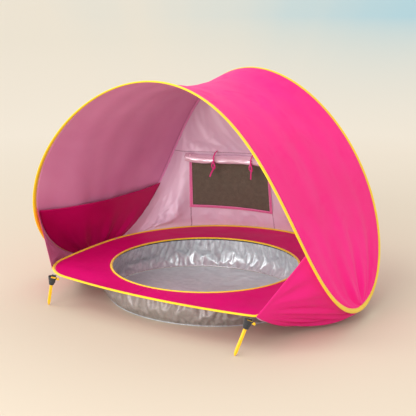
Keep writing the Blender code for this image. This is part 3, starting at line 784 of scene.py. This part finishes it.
def on_rear_wall(u, v):
    column, row = u * sum(COLUMNS), v * sum(ROWS)
    degrees = np.interp(column, [0, COLUMNS[0], COLUMNS[0] + COLUMNS[1], sum(COLUMNS)],
                        [REAR_WALL_START, right_edge, left_edge, 360 - REAR_WALL_START])
    level = np.interp(row, [0, ROWS[0], ROWS[0] + ROWS[1], sum(ROWS)], [0, sill_level, 1, 2])
    here = rear_wall(float(degrees), float(level))
    across_window = (here.x - window_low.x) / (window_high.x - window_low.x)
    up_window = (here.z - window_low.z) / (window_high.z - window_low.z)
    clear = max(-across_window, across_window - 1, 0) / 0.14 + max(-up_window, up_window - 1, 0) / 0.5
    if clear < 1:
        inside = min(max(across_window, 0), 1), min(max(up_window, 0), 1)
        x, z = window_place(*inside)
        pull = 1 - ease(clear, 0, 1)
        away = x - window_low.x - inside[0] * (window_high.x - window_low.x)
        rise = z - window_low.z - inside[1] * (window_high.z - window_low.z)
        foot, head = wall_line(float(degrees))
        here += Vector((away, 0, 0)) * pull + (head - foot) * (rise * pull / (head.z - foot.z))
    towards = (Vector(INSIDE_TENT) - here).normalized()
    flattened = min(1.0, 12 * u * (1 - u))
    return here + towards * wall_creases(here.x, here.y, here.z) * flattened * min(1.0, 12 * v * (1 - v))


def ridge(x, z, scale, seed):
    """Sharp-crested noise from 0 to 1, its lines pulled about by slower noise."""
    swirl = 0.5 * ripple(0.4 * scale * x, 0.4 * scale * z, seed + 4)
    return max(0.0, 1 - 3.2 * abs(ripple(scale * x + swirl, scale * z - swirl, seed)))


def wall_creases(x, y, z):
    """How far the rear wall stands in: sharp creases in its left corner, puckers at seams, and faint ones."""
    corner = 1 - ease((Vector((x, y, z)) - CORNER_CREASES).length, 0.04, 0.2)
    drawn = 0.013 * ridge(x + 0.6 * z, z - 0.5 * x, 9, 1.0) + 0.0035 * ridge(x - z, 0.4 * (z + x), 30, 6.0)
    seam = seam_at(x)
    above = math.exp(-abs(z - seam) / (0.035 if z > seam else 0.012))
    puckers = 0.0032 * ridge(x + 0.25 * (z - seam), 0.25 * z, 36, 3.0) * above
    sill = math.exp(-max(0.0, window_low.z - z) / 0.04) if z < window_low.z else 0.0
    hung = 0.0036 * ridge(x + 0.8 * z, 0.35 * z, 26, 8.0) * sill
    hung = hung * ease(0.03 - x, 0, 0.02) * ease(x, -0.36, -0.3)
    everywhere = 0.0022 * ridge(x, z, 11, 5.0) + 0.0012 * ridge(x, z, 27, 2.0)
    beside = max(window_low.x - 0.012 - x, x - window_high.x - 0.02,
                 window_low.z - 0.018 - z, z - window_high.z - 0.016)
    return (drawn * corner + puckers + hung + everywhere) * ease(beside, 0.0, 0.012)


rear_wall_piece = shaped("rear_wall_panel", sum(COLUMNS), sum(ROWS), on_rear_wall, (1.1, 0.6),
                         inside=INSIDE_TENT)
cut = bmesh.new()
cut.from_mesh(rear_wall_piece.data)
chart = cut.loops.layers.uv["cloth"]
opening = []
for face in cut.faces:
    column = sum(corner[chart].uv.x for corner in face.loops) / 4 / 1.1 * sum(COLUMNS)
    row = sum(corner[chart].uv.y for corner in face.loops) / 4 / 0.6 * sum(ROWS)
    if COLUMNS[0] < column < COLUMNS[0] + COLUMNS[1] and ROWS[0] < row < ROWS[0] + ROWS[1]:
        opening.append(face)
bmesh.ops.delete(cut, geom=opening, context="FACES")
sewn, spare = [], []
for vertex in cut.verts:
    place = vertex.co
    edge = vertex.is_boundary or (window_low.x - 0.014 < place.x < window_high.x + 0.02
                                  and window_low.z - 0.02 < place.z < window_high.z + 0.018)
    level_seam = abs(place.z - seam_at(place.x)) < 0.004
    if edge or (level_seam and vertex.index % 3 == 0):
        sewn.append(vertex.index)
    corner = (place - CORNER_CREASES).length
    spare.append((vertex.index, 1 - ease(corner, 0.03, 0.19)))
cut.to_mesh(rear_wall_piece.data)
cut.free()
settle(rear_wall_piece, sewn, 0.008, steps=24, bending=0.02, loose=spare, loose_slack=0.016)

slope = SEAM_RISE / (roll_high.x - roll_low.x)
wall_seams = [("Z", seam_at(0), slope, "X", (-1.0, 1.0)),
              ("X", CORNERS["low_left"][0] - 0.006, 0.0, "Z", (0.0, window_low.z)),
              ("X", CORNERS["low_right"][0] + 0.006, 0.0, "Z", (0.0, window_low.z))]
silver_pink = polyester("silver_pink_coating", linear(228, 200, 215), linear(210, 179, 198), 0.52, 0.08,
                        crease=0.6, crease_scale=13.0, gloss=0.5, seams=wall_seams)
two_faced(rear_wall_piece, pink_cloth, silver_pink)
rides(rear_wall_piece, "rear_frame", "rear_wall")

SEAM_TAPE_WIDTH = 0.018


def on_seam_tape(u, v):
    """Inside the tent, from the canopy's edge over the rear arch's binding to the wall's edge."""
    degrees = REAR_WALL_START - 2.5 + (365 - 2 * REAR_WALL_START) * v
    here, side = hoop(degrees), across(degrees)
    ahead = (hoop(degrees + 0.3) - hoop(degrees - 0.3)).normalized()
    flat = inner_face(degrees)
    foot, head = wall_line(min(max(degrees, REAR_WALL_START), 360 - REAR_WALL_START))
    down = (foot - head).normalized()
    within = down.cross(ahead)
    if within.dot(Vector(INSIDE_TENT) - here) < 0:
        within = -within
    route = [side * 0.0088 + flat * 0.0009, side * 0.004 + flat * 0.0037, side * -0.003 + flat * 0.0040,
             down * 0.0078 + within * 0.0010]
    puffy = 0.0004 * ripple(degrees * 1.7, 2 * u, 4.4) * min(u, 1 - u) * 4
    return here + smooth_path(route, u) + within * puffy


seam_tape = shaped("rear_seam_tape", 12, 400, on_seam_tape, (SEAM_TAPE_WIDTH, 1.9), inside=(0, 0.9, 0.9))
bound_seam, tree, shader = material("bound_seam", Roughness=0.5, Specular_IOR_Level=0.3)
chart = node(tree, "SeparateXYZ", {"Vector": node(tree, "TexCoord", {}).outputs["UV"]})
strip = maths(tree, "DIVIDE", chart.outputs["X"], SEAM_TAPE_WIDTH)
# Across the tape: lining pink, then a dark band that is painted shade along the welt at the wall's side, then
# lighter again.
folded = ramp(tree, strip, (0.60, linear(226, 148, 190)), (0.70, linear(138, 62, 100)),
              (0.88, linear(150, 74, 112)), (0.94, linear(222, 176, 200)))
tree.links.new(folded, shader.inputs["Base Color"])
two_faced(seam_tape, bound_seam, bound_seam, 0.0005)
bends(seam_tape, "lining")

# ---------------------------------------------------------------- window
# A mosquito-net window in the rear wall, edged with pink tape. Its cover, a flap of the wall's own cloth, is
# rolled up above it and held by two pink ribbons tied in a slip knot.

BINDING = 0.010
BINDING_LAP = 0.002

net, tree, shader = material("mosquito_net", Roughness=0.85)
place = node(tree, "TexCoord", {})
threads = node(tree, "TexBrick", {"Vector": place.outputs["UV"], "Scale": 420.0, "Mortar Size": 0.16,
                                  "Color1": linear(134, 124, 104), "Color2": linear(124, 115, 96),
                                  "Mortar": linear(88, 80, 66), "Brick Width": 0.5, "Row Height": 0.5},
               offset=0.0)
dusty = cloud(tree, place.outputs["Object"], 60.0, 4.0)
netting = node(tree, "MixRGB", {"Fac": 0.35, "Color1": threads.outputs["Color"], "Color2": dusty},
               blend_type="SOFT_LIGHT")
tree.links.new(netting.outputs["Color"], shader.inputs["Base Color"])
sunk = node(tree, "Bump", {"Height": threads.outputs["Fac"], "Strength": 0.4, "Distance": 0.0003},
            invert=True)
tree.links.new(sunk.outputs["Normal"], shader.inputs["Normal"])


def on_net(u, v):
    x, z = window_place(u, v)
    slack = 0.003 * ripple(4 * u, 3 * v, 8.0) * 4 * min(u, 1 - u, v, 1 - v)
    return wall_at(x, z, slack)


net_piece = shaped("window_net", 48, 32, on_net, (0.294, 0.18), inside=INSIDE_TENT)
two_faced(net_piece, net, net, 0.0004)
rides(net_piece, "rear_frame", "window_mesh")

pink_tape = tape("pink_tape", linear(228, 104, 158), linear(246, 190, 212), (0.16, 0.84), BINDING)


def on_window_tape(u, v):
    """Round the window along v, and across the tape along u. The corners are mitred."""
    grow = -BINDING_LAP + BINDING * u
    turn = 4 * v % 4
    side = int(turn) % 4
    share = turn - int(turn)
    near, far_side = [(share, 0), (1, share), (1 - share, 1), (0, 1 - share)][side]
    x, z = window_place(near, far_side)
    x += grow * (2 * near - 1)
    z += grow * (2 * far_side - 1)
    return wall_at(x, z, 0.0016 + 0.0005 * math.sin(math.pi * u) + 0.0004 * ripple(60 * x, 60 * z, 1.0))


window_tape = shaped("window_tape", 6, 160, on_window_tape, (BINDING, 0.96), inside=INSIDE_TENT,
                     closed_along=True)
two_faced(window_tape, pink_tape, pink_tape, 0.0012)
rides(window_tape, "rear_frame", "window_binding")

ROLL_RADIUS = 0.0185
ROLL_TURNS = 3.1
ROLL_CORE = 0.0035
ROLL_GAP = 0.0036  # between the wall and the roll
ties = [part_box("window_tie_" + side) for side in ("left", "right")]
tie_places = [(low.x + high.x) / 2 for low, high in ties]


def roll_z(x):
    return seam_at(x) - ROLL_RADIUS - 0.001


def on_roll(u, v):
    """A flap rolled up from its lower edge: v runs out from the core, u along the roll."""
    x = roll_low.x + (roll_high.x - roll_low.x) * u
    turn = -2 * math.pi * ROLL_TURNS * v + 0.9
    pinch = sum(math.exp(-((x - tie) / 0.012) ** 2) for tie in tie_places)
    radius = ROLL_CORE + (ROLL_RADIUS - ROLL_CORE) * v
    slack = 0.11 * ripple(22 * x, 1.4 * math.cos(turn), 1.4 * math.sin(turn))
    slack += 0.07 * ripple(9 * x + 3, 2.6 * math.cos(turn + 25 * x), 2.6 * math.sin(turn + 25 * x))
    radius *= 1 + slack - 0.22 * pinch
    droop = -0.0025 * math.sin(math.pi * 2.2 * u) * (1 - min(pinch, 1))
    centre = wall_at(x, roll_z(x) + droop, ROLL_GAP + ROLL_RADIUS)
    inwards = (wall_at(x, roll_z(x), 0.01) - wall_at(x, roll_z(x))).normalized()
    return centre + inwards * math.cos(turn) * radius + Vector((0, 0, 0.92 * math.sin(turn) * radius))


cover = shaped("window_cover", 130, 130, on_roll, (0.338, 0.205), inside=INSIDE_TENT)
silver_flap = polyester("silver_flap", linear(246, 222, 232), linear(230, 200, 214), 0.30, 0.35, crease=0.5,
                        gloss=0.5)
two_faced(cover, silver_flap, silver_flap)
rides(cover, "rear_frame", "window_cover_roll")


def ribbon(name, points, width, thickness, steps, girth=8):
    """A narrow woven ribbon along a path, flat towards the inside of the tent."""
    def on_ribbon(u, v):
        here = smooth_path(points, v)
        ahead = (smooth_path(points, v + 0.004) - smooth_path(points, v - 0.004)).normalized()
        side = Vector((1, 0.2, 0)) - ahead * ahead.dot(Vector((1, 0.2, 0)))
        side.normalize()
        turn = 2 * math.pi * u
        return here + side * math.cos(turn) * width / 2 + ahead.cross(side) * math.sin(turn) * thickness / 2
    return shaped(name, girth, steps, on_ribbon, (2 * width, 0.1), closed_across=True, ends=True)


def joined(name, parts):
    """Several meshes as one piece."""
    whole = bmesh.new()
    for part in parts:
        whole.from_mesh(part.data)
        bpy.data.objects.remove(part)
    mesh = bpy.data.meshes.new(name)
    whole.to_mesh(mesh)
    whole.free()
    piece = bpy.data.objects.new(name, mesh)
    scene.collection.objects.link(piece)
    return piece


hot_ribbon = tape("hot_pink_ribbon", linear(236, 40, 138), linear(246, 90, 165), (), 0.008)
RIBBON = 0.0054
KNOT_SIZE = Vector((0.0036, 0.003, 0.0042))
for side, x, lean in zip(("left", "right"), tie_places, (-0.024, -0.012)):
    deep = ROLL_GAP + 2 * ROLL_RADIUS + 0.001

    def at(along, down, out, x=x):
        return wall_at(x + along, roll_z(x) + ROLL_RADIUS + 0.004 - down, out)

    over = [at(0.004, -0.004, 0.002), at(0.004, -0.004, 0.010), at(0.003, -0.002, deep * 0.6),
            at(0.001, 0.008, deep * 0.93), at(0, 0.018, deep), at(-0.001, 0.028, deep * 0.93),
            at(0, 0.036, deep * 0.62), at(0, 0.039, deep * 0.2)]
    knot_at = at(-0.001, 0.024, deep + 0.001)
    loop = [knot_at, at(-0.007, 0.033, deep + 0.004), at(-0.009, 0.044, deep + 0.002),
            at(-0.003, 0.052, deep + 0.001), at(0.003, 0.044, deep + 0.002), at(0.003, 0.033, deep + 0.005),
            knot_at]
    tail = [knot_at, at(0.003, 0.038, deep + 0.006), at(lean * 0.3, 0.055, deep + 0.004),
            at(lean * 0.7, 0.070, deep + 0.002), at(lean, 0.084, deep + 0.001)]
    parts = [ribbon("over", over, RIBBON, 0.0011, 40), ribbon("loop", loop, RIBBON * 0.85, 0.001, 60),
             ribbon("tail", tail, RIBBON, 0.001, 40)]
    knot = bmesh.new()
    bmesh.ops.create_uvsphere(knot, u_segments=18, v_segments=12, radius=1.0)
    for vertex in knot.verts:
        bumps = 1 + 0.25 * ripple(*(vertex.co * 1.6))
        vertex.co = knot_at + vertex.co * KNOT_SIZE * bumps
    for face in knot.faces:
        face.smooth = True
    lump = bpy.data.objects.new("knot", bpy.data.meshes.new("knot"))
    knot.to_mesh(lump.data)
    knot.free()
    tie = joined("window_ribbon_" + side, parts + [lump])
    dress(tie, hot_ribbon)
    rides(tie, "rear_frame", "window_tie_" + side)

# ---------------------------------------------------------------- deck
# A second spring-steel hoop lies flat and holds the pink deck, with the pool hung in its round hole. Narrow
# yellow tape binds the deck's outer edge round the wire and its inner edge round the pool's rim.

DECK_STEPS = 300
ring_front_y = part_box("floor_ring_front_wire")[0].y + WIRE
trim_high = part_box("pool_trim")[1]
TRIM_HALF_WIDTH = 0.004
pool_radius = trim_high.x - TRIM_HALF_WIDTH


def spaced(first, last, steps):
    """steps + 1 values from first to last."""
    return [first + (last - first) * step / steps for step in range(steps + 1)]


def ring_half(cut_length, fullness):
    """The right half of the floor ring, from the middle of its front round to the middle of its rear."""
    start = RING_CORNER.x - cut_length
    bow = RING_CORNER.y - ring_front_y
    front = [Vector((x, RING_CORNER.y - bow * (1 - (x / RING_CORNER.x) ** 2), ring_height))
             for x in spaced(0, start, 40)]
    cut_share = cut_length / (RING_WIDEST_Y - RING_CORNER.y)
    corner = [ring_corner(cut_length, fullness, share) for share in spaced(0, 1, 24)[1:-1]]
    side = [ring_side(share) for share in spaced(cut_share, 1, 60)]
    rear = [ring_rear(angle) for angle in spaced(0, math.pi / 2, 80)[1:]]
    return front + corner + side + rear


right_half = ring_half(*RIGHT_CORNER)
left_half = [Vector((-point.x, point.y, point.z)) for point in ring_half(*LEFT_CORNER)]
outline = right_half + left_half[::-1][1:]
lengths = np.cumsum([0] + [(b - a).length for a, b in zip(outline, outline[1:])])


def ring(share):
    """A point of the floor ring, from the middle of its front to the right and all the way round."""
    at = (share % 1.0) * lengths[-1]
    return Vector([float(np.interp(at, lengths, [point[axis] for point in outline])) for axis in range(3)])


ring_points = [ring(step / DECK_STEPS) for step in range(DECK_STEPS)]


def ring_point(share):
    place = (share % 1.0) * DECK_STEPS
    first = int(place)
    return ring_points[first % DECK_STEPS].lerp(ring_points[(first + 1) % DECK_STEPS], place - first)


def ring_inwards(share):
    ahead = ring_point(share + 0.5 / DECK_STEPS) - ring_point(share - 0.5 / DECK_STEPS)
    return Vector((-ahead.y, ahead.x, 0)).normalized()


def on_floor_binding(u, v):
    out, up = binding_section(u)
    side = ring_inwards(v)
    narrow = RING_HALF_BINDING / BINDING_HALF_WIDTH
    gathered = 1 + 0.06 * ripple(v * 260, 3 * u, 6.1)
    over_ferrule = 1.12
    return ring_point(v) + side * out * narrow + Vector((0, 0, up * gathered * over_ferrule))


floor_binding = shaped("floor_binding", 20, 600, on_floor_binding, (BINDING_GIRTH, lengths[-1]),
                       closed_across=True, closed_along=True)
dress(floor_binding, yellow_tape)
bends(floor_binding, "casing", "floor_ring_front_casing", "floor_ring_rear_casing")
fold_share = next(step / DECK_STEPS for step in range(DECK_STEPS) if ring_points[step].y > foot_y)
steel_wire("floor_front_steel", lambda v: ring_point(-fold_share + 2 * fold_share * v), 200,
           ["floor_ring_front_wire"])
steel_wire("floor_rear_steel", lambda v: ring_point(fold_share + 0.002 + (0.996 - 2 * fold_share) * v), 160,
           ["floor_ring_rear_wire"])


def on_deck(u, v):
    """From the floor ring at u = 0 to the pool's rim at u = 1."""
    edge = ring_point(v) + ring_inwards(v) * (RING_HALF_BINDING - EDGE_LAP)
    around = Vector((edge.x, edge.y, 0)).normalized()
    rim = around * (pool_radius + TRIM_HALF_WIDTH - EDGE_LAP) + Vector((0, 0, ring_height))
    here = edge.lerp(rim, u)
    free = 4 * u * (1 - u)
    width = (edge - rim).length
    waves = 0.010 * ripple(here.x * 5.2, here.y * 5.2, 2.0) + 0.003 * ripple(here.x * 14, here.y * 14, 5.0)
    puckers = 0.0008 * math.exp(-min(u, 1 - u) * width / 0.012) * ripple(v * 240, 2 * u, 3.0)
    return here + Vector((0, 0, free * ease(width, 0.0, 0.2) * (waves - 0.002) + puckers * min(1, free * 8)))


deck_piece = shaped("deck_panel", 28, 300, on_deck, (0.10, 2.6), inside=(0, 0, -3), closed_along=True)
deck_cloth = polyester("deck_cloth", linear(216, 3, 112), linear(206, 2, 102), 0.6, crease=0.10, gloss=0.15)
two_faced(deck_piece, deck_cloth, deck_cloth)
bends(deck_piece, "outer_cloth", "deck")

# ---------------------------------------------------------------- pool
# The paddling pool is a shallow round tub of silver-coated cloth. Its wall is cut longer than its hoop-sewn
# rim, so it hangs in crumpled folds, and a welted seam joins it to the floor, which lies on the ground.

pool_low, pool_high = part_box("pool_floor")
base_x, base_y = pool_high.x - 0.002, pool_high.y - 0.002
RIM_HALF_HEIGHT = 0.0025
WALL_STEPS, WALL_ROWS = 340, 20


def on_rim(u, v):
    turn, around = 2 * math.pi * v, 2 * math.pi * u
    lumpy = 1 + 0.06 * ripple(v * 190, 2 * u, 4.0)
    radius = pool_radius + TRIM_HALF_WIDTH * math.cos(around) * lumpy
    rise = math.copysign(abs(math.sin(around)) ** 0.8, math.sin(around))
    height = ring_height + RIM_HALF_HEIGHT * rise * lumpy
    return Vector((radius * math.sin(turn), -radius * math.cos(turn), height))


rim_tape = tape("rim_tape", yellow, linear(255, 226, 110), (0.2,), 0.022)
rim = shaped("pool_rim", 14, 420, on_rim, (0.022, 1.96), closed_across=True, closed_along=True)
dress(rim, rim_tape)
bends(rim, "casing", "pool_trim")

wall_top_z = ring_height - 0.0012
wall_base_z = 0.0042


def pool_outline(height):
    """Half widths of the pool at a height from 0, its floor, to 1, its rim."""
    bulge = 0.010 * math.sin(math.pi * height)
    top = pool_radius - 0.0008
    return base_x + (top - base_x) * height + bulge, base_y + (top - base_y) * height + bulge


def on_pool_wall(u, v):
    turn = 2 * math.pi * u
    wide, deep = pool_outline(v)
    seed = 0.002 * math.sin(math.pi * v) * ripple(24 * math.cos(turn), 24 * math.sin(turn), 2.5 * v)
    return Vector(((wide + seed) * math.sin(turn), -(deep + seed) * math.cos(turn),
                   wall_base_z + (wall_top_z - wall_base_z) * v))


pool_wall = shaped("pool_wall_panel", WALL_STEPS, WALL_ROWS, on_pool_wall, (2.0, 0.105), inside=(0, 0, 0.05),
                   closed_across=True)
held = [v.index for v in pool_wall.data.vertices
        if v.co.z > wall_top_z - 0.0004 or v.co.z < wall_base_z + 0.0004]
settle(pool_wall, held, 0.085, steps=30, bending=0.008, gravity=0.4)


def silver(name, light, dark, roughness, seam_and_shade_band_from=None):
    """Silver-coated cloth: a dull metal film, creased all over, and where asked a dark grey band along the
    top, partly the seam there and partly painted shade under the rim.
    """
    made, tree, shader = material(name, Metallic=0.35)
    place = node(tree, "TexCoord", {})
    tones = cloud(tree, place.outputs["Object"], 26.0, 6.0, 1.6)
    colour = ramp(tree, tones, (0.3, dark), (0.7, light))
    if seam_and_shade_band_from is not None:
        # The dark grey band at the wall's top: partly its seam, partly painted shade under the rim.
        split = node(tree, "SeparateXYZ", {"Vector": place.outputs["Object"]})
        above = maths(tree, "GREATER_THAN", split.outputs["Z"], seam_and_shade_band_from)
        colour = node(tree, "MixRGB", {"Fac": above, "Color1": colour,
                                       "Color2": linear(78, 76, 84)}).outputs["Color"]
    tree.links.new(colour, shader.inputs["Base Color"])
    creases = cloud(tree, place.outputs["Object"], 30.0, 5.0, 1.4, ridged=True)
    gloss = node(tree, "MapRange", {"Value": creases, "To Min": roughness - 0.06, "To Max": roughness + 0.12})
    tree.links.new(gloss.outputs["Result"], shader.inputs["Roughness"])
    crumpled = relief(tree, creases, 0.35, 0.0015, Normal=woven(tree, place.outputs["UV"], 0.1))
    tree.links.new(crumpled, shader.inputs["Normal"])
    return made


silver_inside = silver("silver_pool_coating", linear(216, 222, 224), linear(182, 188, 192), 0.40,
                       seam_and_shade_band_from=wall_top_z - 0.006)
silver_outside = silver("grey_pool_cloth", linear(172, 166, 163), linear(148, 142, 139), 0.5)
pool_wall.modifiers.new("smooth", "SUBSURF")
two_faced(pool_wall, silver_outside, silver_inside)
bends(pool_wall, "pool_cloth", "pool_wall")


def on_pool_floor(u, v):
    """A disc made from a square: lines of the grid bend to meet the round edge."""
    x, y = 2 * u - 1, 2 * v - 1
    across_x, across_y = x * math.sqrt(1 - y * y / 2), y * math.sqrt(1 - x * x / 2)
    edge = 1 - math.hypot(across_x, across_y)
    creases = 0.0016 * (1 - abs(ripple(3.1 * across_x, 3.1 * across_y, 2.0)) * 4)
    creases += 0.0012 * (1 - abs(ripple(7 * across_x + 2, 7 * across_y, 6.0)) * 4)
    packing = sum(math.exp(-((across_x - line) / 0.012) ** 2) for line in (-0.34, 0.36))
    packing += math.exp(-((across_y - 0.1) / 0.012) ** 2)
    lift = max(0.0, creases) + 0.0011 * packing + 0.0004
    return Vector((base_x * across_x, base_y * across_y, 0.0008 + lift * min(1.0, edge * 12)))


pool_floor = shaped("pool_floor_panel", 110, 110, on_pool_floor, (0.66, 0.59), inside=(0, 0, -1))
silver_floor = silver("silver_floor_coating", linear(220, 230, 230), linear(204, 214, 216), 0.42)
two_faced(pool_floor, silver_floor, silver_outside)
bends(pool_floor, "pool_cloth", "pool_floor")


def on_welt(u, v):
    turn, around = 2 * math.pi * v, 2 * math.pi * u
    puffy = 0.0016 * (1 + 0.25 * ripple(v * 120, 2 * u, 9.0))
    wide, deep = base_x - 0.0012, base_y - 0.0012
    return Vector(((wide + puffy * math.cos(around)) * math.sin(turn),
                   -(deep + puffy * math.cos(around)) * math.cos(turn),
                   wall_base_z + 0.0002 + puffy * math.sin(around)))


welt = shaped("pool_floor_seam", 8, 300, on_welt, (0.01, 2.0), closed_across=True, closed_along=True)
silver_welt = silver("silver_seam", linear(232, 230, 232), linear(210, 208, 212), 0.3)
dress(welt, silver_welt)
bends(welt, "pool_cloth")

# ---------------------------------------------------------------- ground pegs
# Two yellow plastic pegs of V section, pointed at the foot and hooked at the head, stand in loops of black
# webbing that are sewn under the deck's front edge.

peg_plastic, tree, shader = material("peg_plastic", Roughness=0.34, Specular_IOR_Level=0.5, Coat_Weight=0.1)
place = node(tree, "TexCoord", {})
moulding = cloud(tree, place.outputs["Object"], 45.0, 4.0)
peg_shade = node(tree, "MixRGB", {"Fac": moulding, "Color1": linear(255, 190, 10),
                                  "Color2": linear(255, 206, 30)})
tree.links.new(peg_shade.outputs["Color"], shader.inputs["Base Color"])
grain = cloud(tree, place.outputs["Object"], 900.0)
tree.links.new(relief(tree, grain, 0.15, 0.0003), shader.inputs["Normal"])

webbing, tree, shader = material("black_webbing", Roughness=0.75, Sheen_Weight=0.3, Sheen_Roughness=0.5)
chart = node(tree, "TexCoord", {}).outputs["UV"]
warp = node(tree, "TexWave", {"Vector": chart, "Scale": 160.0, "Distortion": 1.0},
            bands_direction="X").outputs["Fac"]
weft = node(tree, "TexWave", {"Vector": chart, "Scale": 220.0, "Distortion": 1.0},
            bands_direction="Y").outputs["Fac"]
weave = maths(tree, "MULTIPLY", warp, weft)
threads = node(tree, "MixRGB", {"Fac": weave, "Color1": linear(22, 22, 24), "Color2": linear(62, 62, 66)})
tree.links.new(threads.outputs["Color"], shader.inputs["Base Color"])
tree.links.new(relief(tree, weave, 0.6, 0.0005), shader.inputs["Normal"])

PEG_RADIUS = 0.005
PEG_POINT = 0.012
PEG_VEE = [(0.0, 0.9), (0.22, 0.52), (0.98, 0.30), (1.0, 0.02), (0.62, -0.18), (0.16, -0.62),
           (-0.16, -0.62), (-0.62, -0.18), (-1.0, 0.02), (-0.98, 0.30), (-0.22, 0.52)]
LOOP_DROP = 0.012
LOOP_HALF_HEIGHT = 0.013
LOOP_RADIUS = 0.0085
STRAP_WIDTH = 0.018

pegs = {"left": (Vector((-0.361, -0.374, 0.0006)), Vector((-0.330, -0.384, 0.102))),
        "right": (Vector((0.368, -0.405, 0.0006)), Vector((0.395, -0.375, 0.102)))}
for side, (tip, head) in pegs.items():
    up = (head - tip).normalized()
    forward = (Vector((-0.35, 1, 0)) - up * up.dot(Vector((-0.35, 1, 0)))).normalized()
    sideways = up.cross(forward)
    hook = (Vector((0.8, 0.55, 0)) - up * up.dot(Vector((0.8, 0.55, 0)))).normalized()
    length = (head - tip).length

    def on_peg(u, v, tip=tip, up=up, forward=forward, sideways=sideways, length=length):
        x, y = PEG_VEE[round(u * len(PEG_VEE)) % len(PEG_VEE)]
        along = length * v
        taper = 0.3 + 0.7 * ease(along, -0.003, PEG_POINT)
        return tip + up * along - (sideways * x + forward * y) * PEG_RADIUS * taper

    shaft = shaped("shaft", len(PEG_VEE), 36, on_peg, (0.03, length), closed_across=True, ends=True)
    bar_points = [head - hook * 0.003, head + hook * 0.006, head + hook * 0.016,
                  head + hook * 0.022 - up * 0.001]

    def on_hook(u, v, points=bar_points, up=up, hook=hook):
        turn = 2 * math.pi * u
        size = 0.0042 * (1 - 0.35 * ease(v, 0.8, 1.0))
        return (smooth_path(points, v) + up * math.sin(turn) * size
                + hook.cross(up) * math.cos(turn) * size - up * 0.004)

    bar = shaped("hook", 12, 16, on_hook, (0.02, 0.02), closed_across=True, ends=True)
    peg = joined("ground_peg_" + side, [shaft, bar])
    dress(peg, peg_plastic)
    soft = peg.modifiers.new("moulded", "BEVEL")
    soft.width, soft.segments, soft.limit_method = 0.0005, 2, "ANGLE"
    soft.angle_limit = math.radians(40)
    rides(peg, "stake_" + side, "stake_" + side)

    middle = head - up * LOOP_DROP

    def on_loop(u, v, middle=middle, up=up, forward=forward, sideways=sideways):
        turn = 2 * math.pi * u
        lip = 1 + 0.08 * ripple(3 * u, 9 * v, 2.0)
        wide = LOOP_RADIUS * (0.85 + 0.7 * v)
        return (middle - up * LOOP_HALF_HEIGHT + up * 2 * LOOP_HALF_HEIGHT * v
                + sideways * math.cos(turn) * wide * lip
                + forward * math.sin(turn) * LOOP_RADIUS * 1.05 * lip)

    loop = shaped("webbing_band_" + side, 40, 16, on_loop, (0.055, 0.026), inside=middle, closed_across=True)
    two_faced(loop, webbing, webbing, 0.0018)
    rides(loop, "front_frame", "webbing_loop_" + side)
    strap_low, strap_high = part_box("webbing_strap_" + side)

    def on_strap(u, v, low=strap_low, high=strap_high, middle=middle, forward=forward, up=up):
        start = Vector(((low.x + high.x) / 2, low.y + 0.004, high.z - 0.0015))
        ends = [start, middle + up * LOOP_HALF_HEIGHT + forward * (LOOP_RADIUS + 0.0022),
                middle + forward * (LOOP_RADIUS + 0.0024),
                middle - up * LOOP_HALF_HEIGHT + forward * (LOOP_RADIUS + 0.002)]
        return smooth_path(ends, v) + Vector((1, 0, 0)) * (u - 0.5) * STRAP_WIDTH

    strap = shaped("webbing_tail_" + side, 8, 24, on_strap, (STRAP_WIDTH, 0.04), inside=middle)
    two_faced(strap, webbing, webbing, 0.0018)
    rides(strap, "front_frame", "webbing_strap_" + side)
